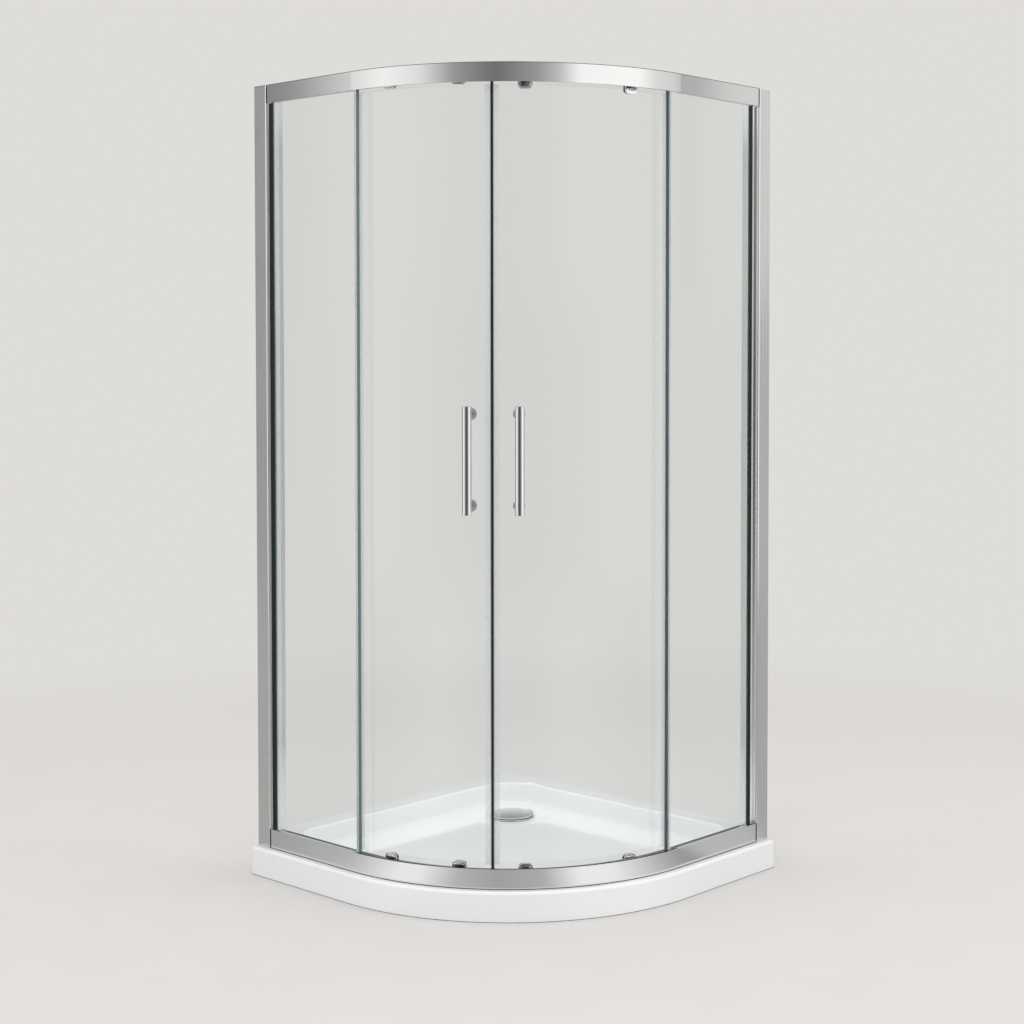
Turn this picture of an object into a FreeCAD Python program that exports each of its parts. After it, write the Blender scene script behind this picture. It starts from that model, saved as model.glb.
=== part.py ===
import FreeCAD, Part
import math
import os

# Quadrant shower enclosure, 900 x 900 mm, on a low white tray.
# Millimetres, +Z up.  The origin is on the floor under the middle of the tray's square.
# The two room walls are the planes x = -TRAY_SIDE/2 and y = +TRAY_SIDE/2; the curved front
# faces +X and -Y.  "Left" is the half next to the wall at -X, "right" the half at +Y.
# Sections are written as (inset, z): inset is measured inward from the tray's front edge.

os.makedirs("parts", exist_ok=True)

# ---- tray ---------------------------------------------------------------------------
TRAY_SIDE = 900.0
TRAY_RADIUS = 550.0
TRAY_HEIGHT = 68.0
TRAY_EDGE_ROUND = 7.0
TRAY_FOOT_ROUND = 2.0
TRAY_END_ROUND = 3.0
LEDGE_RISE = 27.0
LEDGE_WIDTH = 64.0
LEDGE_ROUND = 6.0
LEDGE_FRAME_GAP = 14.0
BASIN_FRAME_GAP = 12.0
BASIN_DEPTH = 22.0
BASIN_DRAFT = 0.24
BASIN_CORNER = 92.0
BASIN_END_ROUND = 62.0
BASIN_COVE = 16.0
BASIN_LIP_ROUND = 5.0

# ---- waste --------------------------------------------------------------------------
WASTE_FROM_WALL = 203.0
WASTE_HOLE_RADIUS = 45.0
WASTE_DISH_RADIUS = 105.0
WASTE_DISH_DEPTH = 3.0
WASTE_POCKET_RADIUS = 66.0
WASTE_POCKET_HEIGHT = 35.0
WASTE_TRENCH_WIDTH = 60.0
FLANGE_RADIUS = 55.0
FLANGE_THICK = 2.0
BARREL_WALL = 3.4
WASTE_SEAL_THICK = 1.5
WASTE_SEAL_WIDTH = 8.0
WASTE_FIT = 0.1
CUP_WALL = 5.0
CUP_FLANGE_RADIUS = 60.0
CUP_FLANGE_THICK = 3.0
CUP_FLOOR_CLEAR = 2.0
SPIGOT_RADIUS = 13.0
SPIGOT_WALL = 2.0
SPIGOT_RISE = 1.25
SPIGOT_BOSS = 2.0
SPIGOT_BOSS_SIDE = 3.0
SPIGOT_LENGTH = 60.0
COVER_RADIUS = 55.0
COVER_THICK = 2.6
COVER_ROUND = 1.2
COVER_LIFT = 3.2
COVER_FOOT = 6.0
DIP_RADIUS = 22.0
DIP_WALL = 2.0
DIP_LENGTH = 30.0
DIP_FLANGE = 34.0

# ---- frame --------------------------------------------------------------------------
FRAME_SETBACK = 20.0
FRAME_HEIGHT = 1827.0
FRAME_DEPTH = 54.0
BED_THICK = 0.6
TOP_RAIL_HEIGHT = 43.0
BOTTOM_RAIL_HEIGHT = 45.0
RAIL_WALL = 1.6
RAIL_WEB = 2.0
RAIL_FACE_ROUND = 1.5
RAIL_START = 50.0
LIP_RECESS = 1.5
TRACK_WIDTH = 13.9
TRACK_THICK = 2.0

# ---- wall profile and jamb ----------------------------------------------------------
CHANNEL_DEPTH = 34.0
CHANNEL_WALL = 1.6
CHANNEL_FIT = 0.1
CHANNEL_HOLE_RADIUS = 2.6
CHANNEL_HOLE_FROM_END = 63.5
JAMB_WIDTH = 46.0
JAMB_WALL = 1.6
JAMB_BACK_GAP = 2.0
JAMB_FLUTES = 3
FLUTE_WIDTH = 3.0
FLUTE_DEPTH = 0.2
NOSE_LENGTH = 5.0
NOSE_WALL = 1.2
NOSE_SEAL = 1.7
CAP_THICK = 2.0
CAP_PLUG = 6.0
CAP_FIT = 0.2
JAMB_SCREW_FROM_END = 93.5
JAMB_SCREW_RADIUS = 2.0
JAMB_SCREW_HEAD = 4.0
JAMB_SCREW_HEAD_THICK = 2.2
JAMB_SCREW_LENGTH = 8.0

# ---- glass and seals ----------------------------------------------------------------
GLASS_THICK = 6.0
GLAZING_GASKET = 2.5
GASKET_BASE = 4.0
GASKET_PROUD = 1.8
GLASS_FROM_WALL = 68.0
LEFT_PANEL_BEYOND = 13.0
RIGHT_PANEL_BEYOND = 36.0
JAMB_SEAL_WALL = 1.2
JAMB_SEAL_COVER = 16.0
EDGE_SEAL_WALL = 1.0
EDGE_SEAL_COVER = 11.0
EDGE_SEAL_FIN_REACH = 19.0
EDGE_SEAL_FIN_DROP = 8.0
EDGE_SEAL_END_GAP = 1.0

# ---- doors --------------------------------------------------------------------------
MEET_SHIFT = 57.75
DOOR_SETBACK = 27.0
DOOR_LAP_TOP = 14.9
DOOR_LAP_BOTTOM = 11.0
DOOR_OVERLAP = 20.0
MEET_GAP = 0.4
MAGNET_WIDTH = 2.5
MAGNET_DEPTH = 8.0
SEAL_WALL = 1.2
SEAL_COVER = 12.0
SEAL_FIT = 0.05
REAR_FIN_REACH = 6.0
REAR_FIN_WIDTH = 3.0
DOOR_SEAL_END_GAP = 3.0

# ---- rollers ------------------------------------------------------------------------
LEFT_LEAD_ROLLER_INSET = 76.5
RIGHT_LEAD_ROLLER_INSET = 74.0
LEFT_TAIL_ROLLER_INSET = 98.0
RIGHT_TAIL_ROLLER_INSET = 112.5
WHEEL_RADIUS = 11.0
WHEEL_WIDTH = 6.0
WHEEL_ROUND = 0.8
WHEEL_SETBACK = 10.5
WHEEL_RUN = 0.05
WHEEL_END_PLAY = 0.1
TRACK_RISE = 17.9
TRACK_FALL = 14.0
AXLE_RADIUS = 3.0
AXLE_COLLAR = 4.6
AXLE_HEAD_THICK = 0.7
CLAMP_WIDTH = 31.0
CLAMP_THICK = 4.0
LEFT_CLAMP_DROP = 2.0
LEFT_CLAMP_RISE = 9.5
RIGHT_CLAMP_DROP = 13.0
RIGHT_CLAMP_RISE = 6.0
CLAMP_CORNER = 9.0
CLAMP_EDGE_ROUND = 1.2
CLAMP_HOLE_EDGE = 10.5
CLAMP_HOLE_RADIUS = 6.0
CLAMP_BOSS_FIT = 0.4
HANGER_THICK = 3.0
HANGER_WIDTH = 32.0
HANGER_NECK = 14.0
HANGER_SHORT = 1.0
HANGER_CORNER = 5.0
CLAMP_SCREW_RADIUS = 3.0
CLAMP_SCREW_HEAD = 5.4
CLAMP_SCREW_HEAD_THICK = 3.0
PIN_FIT = 0.05
BUFFER_LENGTH = 14.0
BUFFER_GAP = 0.4
LEFT_TRAVEL = 202.0
RIGHT_TRAVEL = 219.5

# ---- handles ------------------------------------------------------------------------
LEFT_HANDLE_INSET = 47.5
RIGHT_HANDLE_INSET = 60.0
HANDLE_HEIGHT = 1022.5
HANDLE_LENGTH = 240.0
HANDLE_RADIUS = 11.0
HANDLE_REACH = 45.0
HANDLE_PITCH = 204.0
HANDLE_CHAMFER = 1.0
POST_RADIUS = 6.0
POST_SOCKET = 6.0
ROSE_RADIUS = 14.0
ROSE_THICK = 5.0
ROSE_ROUND = 1.5
HANDLE_HOLE_RADIUS = 5.0
HANDLE_SCREW_RADIUS = 3.0
HANDLE_SCREW_GRIP = 18.0
HANDLE_CAP_RADIUS = 11.0
HANDLE_CAP_THICK = 4.0

# ---- rail connectors ----------------------------------------------------------------
CONNECTOR_LENGTH = 44.0
CONNECTOR_WIDTH = 20.0
CONNECTOR_HEIGHT = 24.0
CONNECTOR_SCREW_RADIUS = 2.0
CONNECTOR_SCREW_HEAD = 4.2
CONNECTOR_SCREW_HEAD_THICK = 2.6
CONNECTOR_SCREW_GRIP = 22.0

# ---- derived levels and lines -------------------------------------------------------
HALF = TRAY_SIDE / 2
LEG = TRAY_SIDE - TRAY_RADIUS
FULL_TURN = 360.0
QUARTER = FULL_TURN / 4
TINY = 1e-6
UP = FreeCAD.Vector(0, 0, 1)
ARC = FreeCAD.Vector(LEG - HALF, HALF - LEG, 0)

FRAME_BASE = TRAY_HEIGHT + BED_THICK
FRAME_TOP = FRAME_BASE + FRAME_HEIGHT
TOP_RAIL_EDGE = FRAME_TOP - TOP_RAIL_HEIGHT
BOTTOM_RAIL_EDGE = FRAME_BASE + BOTTOM_RAIL_HEIGHT
FRAME_INNER = FRAME_SETBACK + FRAME_DEPTH

PANEL_OUTER = FRAME_SETBACK + RAIL_WALL + GLAZING_GASKET
PANEL_INNER = PANEL_OUTER + GLASS_THICK
LIP_OUTER = PANEL_INNER + GLAZING_GASKET
LIP_INNER = LIP_OUTER + RAIL_WALL
PANEL_LOW = FRAME_BASE + RAIL_WEB + GASKET_BASE
PANEL_HIGH = FRAME_TOP - RAIL_WEB - GASKET_BASE

DOOR_OUTER = FRAME_SETBACK + DOOR_SETBACK
DOOR_INNER = DOOR_OUTER + GLASS_THICK
DOOR_HIGH = TOP_RAIL_EDGE + DOOR_LAP_TOP
DOOR_LOW = BOTTOM_RAIL_EDGE - DOOR_LAP_BOTTOM
DOOR_RADIUS = TRAY_RADIUS - DOOR_OUTER

TRACK_OUTER = FRAME_INNER - RAIL_WALL - TRACK_WIDTH
TRACK_HIGH = TOP_RAIL_EDGE + TRACK_RISE
TRACK_LOW = BOTTOM_RAIL_EDGE - TRACK_FALL
WHEEL_OUTER = DOOR_INNER + WHEEL_SETBACK
WHEEL_INNER = WHEEL_OUTER + WHEEL_WIDTH
WHEEL_CENTRE = (WHEEL_OUTER + WHEEL_INNER) / 2
AXLE_HIGH = TRACK_HIGH + WHEEL_RUN + WHEEL_RADIUS
AXLE_LOW = TRACK_LOW - WHEEL_RUN - WHEEL_RADIUS

BASIN_FLOOR = TRAY_HEIGHT - BASIN_DEPTH
LEDGE_TOP = TRAY_HEIGHT + LEDGE_RISE
WASTE_SEAT = BASIN_FLOOR - WASTE_DISH_DEPTH
WASTE = FreeCAD.Vector(WASTE_FROM_WALL - HALF, HALF - WASTE_FROM_WALL, 0)


# ---- helpers ------------------------------------------------------------------------
def outline(corners, place):
    """Face through (u, v, radius) corners, each rounded by its radius, put in space by place."""
    turns = []
    count = len(corners)
    for i in range(count):
        corner = FreeCAD.Vector(corners[i][0], corners[i][1], 0)
        before = FreeCAD.Vector(corners[i - 1][0], corners[i - 1][1], 0)
        after = FreeCAD.Vector(corners[(i + 1) % count][0], corners[(i + 1) % count][1], 0)
        radius = corners[i][2]
        if radius > 0:
            back = (before - corner).normalize()
            ahead = (after - corner).normalize()
            half = back.getAngle(ahead) / 2
            middle = (back + ahead).normalize()
            reach = radius / math.tan(half)
            depth = radius / math.sin(half) - radius
            turns.append((corner + back * reach, corner + middle * depth, corner + ahead * reach))
        else:
            turns.append((corner, None, corner))
    edges = []
    for i in range(count):
        start, middle, stop = turns[i]
        follow = turns[(i + 1) % count][0]
        if middle is not None:
            edges.append(Part.Arc(place(start), place(middle), place(stop)).toShape())
        if (follow - stop).Length > TINY:
            edges.append(Part.LineSegment(place(stop), place(follow)).toShape())
    return Part.Face(Part.Wire(edges))


def section_at(corners, x):
    """Section of (inset, z, radius) corners across the left leg, in the plane of this x."""
    return outline(corners, lambda p: FreeCAD.Vector(x, p.x - HALF, p.y))


def plan_at(corners, z):
    """Plan of (x, y, radius) corners at this height."""
    return outline(corners, lambda p: FreeCAD.Vector(p.x, p.y, z))


def jamb_plan(corners, low, high):
    """Upright bar at the left wall from (distance from wall, inset, radius) corners."""
    face = plan_at([(s - HALF, inset - HALF, radius) for s, inset, radius in corners], low)
    return face.extrude(FreeCAD.Vector(0, 0, high - low))


def mirrored(shape):
    """The same piece on the other wall: a mirror image across the enclosure's diagonal."""
    return shape.mirror(FreeCAD.Vector(0, 0, 0), FreeCAD.Vector(1, 1, 0))


def turned(shape, angle):
    """A copy turned about the centre of the front curve, from the left leg's end."""
    copy = shape.copy()
    copy.rotate(ARC, UP, angle)
    return copy


def straight(corners, start, stop):
    """A section run along the left leg between two x values."""
    return section_at(corners, start).extrude(FreeCAD.Vector(stop - start, 0, 0))


def around(corners, start):
    """A section run from a distance off the left wall, round the curve, to the right wall."""
    leg = straight(corners, start - HALF, ARC.x)
    bend = section_at(corners, ARC.x).revolve(ARC, UP, QUARTER)
    return leg.fuse([bend, mirrored(leg)]).removeSplitter()


def sector(outer, inner, low, high, begin, end):
    """Curved band between two insets and two heights, over an angle from the left leg's end."""
    corners = [(outer, low, 0), (inner, low, 0), (inner, high, 0), (outer, high, 0)]
    return turned(section_at(corners, ARC.x).revolve(ARC, UP, end - begin), begin)


def block(begin, end, outer, inner, low, high):
    """Box at the left leg's end: along the leg, inset and height."""
    corner = FreeCAD.Vector(ARC.x + begin, outer - HALF, low)
    return Part.makeBox(end - begin, inner - outer, high - low, corner)


def bolt(radius, outer, inner, height):
    """Cylinder whose axis points from the room into the cabin, at the left leg's end."""
    base = FreeCAD.Vector(ARC.x, outer - HALF, height)
    return Part.makeCylinder(radius, inner - outer, base, FreeCAD.Vector(0, 1, 0))


def plate(corners, outer, inner):
    """Upright plate of (along, z, radius) corners between two insets at the left leg's end."""
    face = outline(corners, lambda p: FreeCAD.Vector(ARC.x + p.x, outer - HALF, p.y))
    return face.extrude(FreeCAD.Vector(0, inner - outer, 0))


def post(radius, low, high, centre):
    """Upright cylinder between two heights."""
    return Part.makeCylinder(radius, high - low, FreeCAD.Vector(centre.x, centre.y, low), UP)


def pipe(outer, inner, low, high, centre):
    """Upright tube between two heights."""
    return post(outer, low, high, centre).cut(post(inner, low, high, centre))


def angle_of(length, radius):
    """Angle in degrees that an arc of this length takes on this radius."""
    return math.degrees(length / radius)


def edges_where(shape, test):
    """Edges whose middle point passes the test."""
    found = []
    for edge in shape.Edges:
        first, last = edge.ParameterRange
        if test(edge.valueAt((first + last) / 2), edge):
            found.append(edge)
    return found


def save(name, solids):
    """Write one node from one or more separate solids."""
    shape = solids[0] if len(solids) == 1 else Part.makeCompound(solids)
    shape.exportStep("parts/" + name + ".step")


def both(name, shape):
    """Write a left-hand piece and its mirror image."""
    save(name + "_left", [shape])
    save(name + "_right", [mirrored(shape)])


# ---- tray ---------------------------------------------------------------------------
def quadrant(front, wall, end, corner, z):
    """Square plan with its front corner rounded concentric with the tray's front."""
    return plan_at([
        (wall - HALF, front - HALF, end),
        (HALF - front, front - HALF, TRAY_RADIUS - front),
        (HALF - front, HALF - wall, end),
        (wall - HALF, HALF - wall, corner),
    ], z)


def front_inset(point):
    """How far a point lies inside the tray's front edge."""
    if point.x > ARC.x and point.y < ARC.y:
        return TRAY_RADIUS - math.hypot(point.x - ARC.x, point.y - ARC.y)
    return min(point.y + HALF, HALF - point.x)


def build_tray():
    body = quadrant(0, 0, TRAY_END_ROUND, TRAY_END_ROUND, 0).extrude(FreeCAD.Vector(0, 0, TRAY_HEIGHT))
    front = edges_where(body, lambda p, e: abs(p.z - TRAY_HEIGHT) < TINY and front_inset(p) < 1e-3)
    body = body.makeFillet(TRAY_EDGE_ROUND, front)
    foot = edges_where(body, lambda p, e: abs(p.z) < TINY and front_inset(p) < 1e-3)
    body = body.makeFillet(TRAY_FOOT_ROUND, foot)
    ledge_start = FRAME_INNER + LEDGE_FRAME_GAP
    ledge = quadrant(ledge_start, 0, TRAY_END_ROUND, TRAY_END_ROUND, BASIN_FLOOR).extrude(
        FreeCAD.Vector(0, 0, LEDGE_TOP - BASIN_FLOOR))
    body = body.fuse(ledge).removeSplitter()
    rise = BASIN_DRAFT * LEDGE_RISE
    fall = BASIN_DRAFT * BASIN_DEPTH
    rim_inset = FRAME_INNER + BASIN_FRAME_GAP
    top = quadrant(rim_inset - rise, LEDGE_WIDTH, BASIN_END_ROUND, BASIN_CORNER, LEDGE_TOP)
    drop = rise + fall
    bottom = quadrant(rim_inset + fall, LEDGE_WIDTH + drop, BASIN_END_ROUND - drop,
                      BASIN_CORNER - drop, BASIN_FLOOR)
    hollow = Part.makeLoft([bottom.OuterWire, top.OuterWire], True, True)
    foot = edges_where(hollow, lambda p, e: abs(p.z - BASIN_FLOOR) < TINY)
    body = body.cut(hollow.makeFillet(BASIN_COVE, foot))
    inner = edges_where(body, lambda p, e: abs(p.z - LEDGE_TOP) < TINY
                        and p.x > TRAY_END_ROUND - HALF and p.y < HALF - TRAY_END_ROUND)
    body = body.makeFillet(LEDGE_ROUND, inner)
    lip = edges_where(body, lambda p, e: abs(p.z - TRAY_HEIGHT) < TINY
                      and FRAME_INNER < front_inset(p) < ledge_start - TINY
                      and hollow.distToShape(Part.Vertex(p))[0] < 1e-3)
    body = body.makeFillet(BASIN_LIP_ROUND, lip)
    dish = Part.makeCone(FLANGE_RADIUS + WASTE_SEAL_THICK, WASTE_DISH_RADIUS, WASTE_DISH_DEPTH,
                         WASTE + UP * WASTE_SEAT, UP)
    body = body.cut(dish)
    body = body.cut(post(WASTE_HOLE_RADIUS, 0, BASIN_FLOOR, WASTE))
    body = body.cut(post(WASTE_POCKET_RADIUS, 0, WASTE_POCKET_HEIGHT, WASTE))
    trench = Part.makeBox(WASTE_FROM_WALL, WASTE_TRENCH_WIDTH, WASTE_POCKET_HEIGHT,
                          FreeCAD.Vector(-HALF, WASTE.y - WASTE_TRENCH_WIDTH / 2, 0))
    return body.cut(trench)


def build_waste():
    flange_low = WASTE_SEAT + WASTE_SEAL_THICK
    flange_top = flange_low + FLANGE_THICK
    barrel_outer = WASTE_HOLE_RADIUS - WASTE_SEAL_THICK
    bore = barrel_outer - BARREL_WALL
    cup_low = CUP_FLOOR_CLEAR
    cup_top = WASTE_POCKET_HEIGHT - WASTE_SEAL_THICK
    cup_inner = barrel_outer + WASTE_FIT
    cup_outer = cup_inner + CUP_WALL
    barrel_low = cup_low + CUP_WALL + WASTE_FIT
    mouth = WASTE + UP * (cup_low + SPIGOT_RISE + SPIGOT_RADIUS)
    out = FreeCAD.Vector(-1, 0, 0)
    flange = pipe(FLANGE_RADIUS, bore, flange_low, flange_top, WASTE)
    flange = flange.fuse(pipe(barrel_outer, bore, barrel_low, flange_top, WASTE)).removeSplitter()
    save("waste_flange", [flange.cut(Part.makeCylinder(SPIGOT_RADIUS, cup_outer, mouth, out))])
    seal_outer = FLANGE_RADIUS - WASTE_FIT
    save("waste_gaskets", [
        pipe(seal_outer, seal_outer - WASTE_SEAL_WIDTH, WASTE_SEAT, flange_low, WASTE),
        pipe(CUP_FLANGE_RADIUS, CUP_FLANGE_RADIUS - WASTE_SEAL_WIDTH, cup_top, WASTE_POCKET_HEIGHT,
             WASTE),
    ])
    cup = post(cup_outer, cup_low, cup_top, WASTE)
    cup = cup.fuse(post(CUP_FLANGE_RADIUS, cup_top - CUP_FLANGE_THICK, cup_top, WASTE))
    boss_face = cup_outer + SPIGOT_BOSS
    boss_half = SPIGOT_RADIUS + SPIGOT_BOSS_SIDE
    cup = cup.fuse(Part.makeBox(boss_face, 2 * boss_half, cup_top - CUP_FLANGE_THICK - cup_low,
                                WASTE + FreeCAD.Vector(-boss_face, -boss_half, cup_low)))
    cup = cup.fuse(Part.makeCylinder(SPIGOT_RADIUS, boss_face + SPIGOT_LENGTH, mouth, out))
    cup = cup.cut(post(cup_inner, cup_low + CUP_WALL, cup_top, WASTE))
    cup = cup.cut(Part.makeCylinder(SPIGOT_RADIUS - SPIGOT_WALL, boss_face + SPIGOT_LENGTH, mouth, out))
    save("waste_body", [cup.removeSplitter()])
    disc_low = flange_top + COVER_LIFT
    disc = post(COVER_RADIUS, disc_low, disc_low + COVER_THICK, WASTE)
    rim = edges_where(disc, lambda p, e: abs(p.z - disc_low - COVER_THICK) < TINY)
    disc = disc.makeFillet(COVER_ROUND, rim)
    foot_line = (FLANGE_RADIUS + bore) / 2
    for quarter in range(4):
        foot = Part.makeCylinder(COVER_FOOT / 2, COVER_LIFT,
                                 WASTE + FreeCAD.Vector(foot_line, 0, flange_top), UP)
        foot.rotate(WASTE, UP, quarter * QUARTER + QUARTER / 2)
        disc = disc.fuse(foot)
    save("waste_cover", [disc])
    dip = pipe(DIP_RADIUS, DIP_RADIUS - DIP_WALL, disc_low - DIP_LENGTH, disc_low, WASTE)
    dip = dip.fuse(pipe(DIP_FLANGE, DIP_RADIUS - DIP_WALL, disc_low - DIP_WALL, disc_low, WASTE))
    save("waste_dip_tube", [dip.removeSplitter()])


# ---- frame --------------------------------------------------------------------------
def build_rails():
    face = FRAME_SETBACK
    lip_low = TOP_RAIL_EDGE + LIP_RECESS
    top = around([
        (face, TOP_RAIL_EDGE, 0),
        (face + RAIL_WALL, TOP_RAIL_EDGE, 0),
        (face + RAIL_WALL, FRAME_TOP - RAIL_WEB, 0),
        (LIP_OUTER, FRAME_TOP - RAIL_WEB, 0),
        (LIP_OUTER, lip_low, 0),
        (LIP_INNER, lip_low, 0),
        (LIP_INNER, FRAME_TOP - RAIL_WEB, 0),
        (FRAME_INNER - RAIL_WALL, FRAME_TOP - RAIL_WEB, 0),
        (FRAME_INNER - RAIL_WALL, TRACK_HIGH, 0),
        (TRACK_OUTER, TRACK_HIGH, 0),
        (TRACK_OUTER, TRACK_HIGH - TRACK_THICK, 0),
        (FRAME_INNER, TRACK_HIGH - TRACK_THICK, 0),
        (FRAME_INNER, FRAME_TOP, RAIL_FACE_ROUND),
        (face, FRAME_TOP, RAIL_FACE_ROUND),
    ], RAIL_START)
    lip_high = BOTTOM_RAIL_EDGE - LIP_RECESS
    bottom = around([
        (face, FRAME_BASE, 0),
        (FRAME_INNER, FRAME_BASE, 0),
        (FRAME_INNER, TRACK_LOW + TRACK_THICK, RAIL_FACE_ROUND),
        (TRACK_OUTER, TRACK_LOW + TRACK_THICK, 0),
        (TRACK_OUTER, TRACK_LOW, 0),
        (FRAME_INNER - RAIL_WALL, TRACK_LOW, 0),
        (FRAME_INNER - RAIL_WALL, FRAME_BASE + RAIL_WEB, 0),
        (LIP_INNER, FRAME_BASE + RAIL_WEB, 0),
        (LIP_INNER, lip_high, 0),
        (LIP_OUTER, lip_high, 0),
        (LIP_OUTER, FRAME_BASE + RAIL_WEB, 0),
        (face + RAIL_WALL, FRAME_BASE + RAIL_WEB, 0),
        (face + RAIL_WALL, BOTTOM_RAIL_EDGE, 0),
        (face, BOTTOM_RAIL_EDGE, RAIL_WALL / 2),
    ], RAIL_START)
    save("top_rail", [top])
    save("bottom_rail", [bottom])
    edge = RAIL_WEB
    save("bed_seal", [around([
        (FRAME_SETBACK + edge, TRAY_HEIGHT, 0),
        (FRAME_INNER - edge, TRAY_HEIGHT, 0),
        (FRAME_INNER - edge, FRAME_BASE, 0),
        (FRAME_SETBACK + edge, FRAME_BASE, 0),
    ], 0)])


def connector_inset():
    """Inset of the connectors' middle line: beside the glazing lip."""
    return LIP_INNER + CONNECTOR_WIDTH / 2


def connector_levels():
    """Height of the top and bottom connectors' screws."""
    high = FRAME_TOP - RAIL_WEB - CONNECTOR_HEIGHT / 2
    low = FRAME_BASE + RAIL_WEB + CONNECTOR_HEIGHT / 2
    return high, low


def along_leg(radius, start, stop, height):
    """Cylinder along the left leg between two distances from the wall."""
    base = FreeCAD.Vector(start - HALF, connector_inset() - HALF, height)
    return Part.makeCylinder(radius, stop - start, base, FreeCAD.Vector(1, 0, 0))


def three_levels(from_end):
    """Heights near the frame's foot, at its middle and near its top."""
    return FRAME_BASE + from_end, (FRAME_BASE + FRAME_TOP) / 2, FRAME_TOP - from_end


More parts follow.
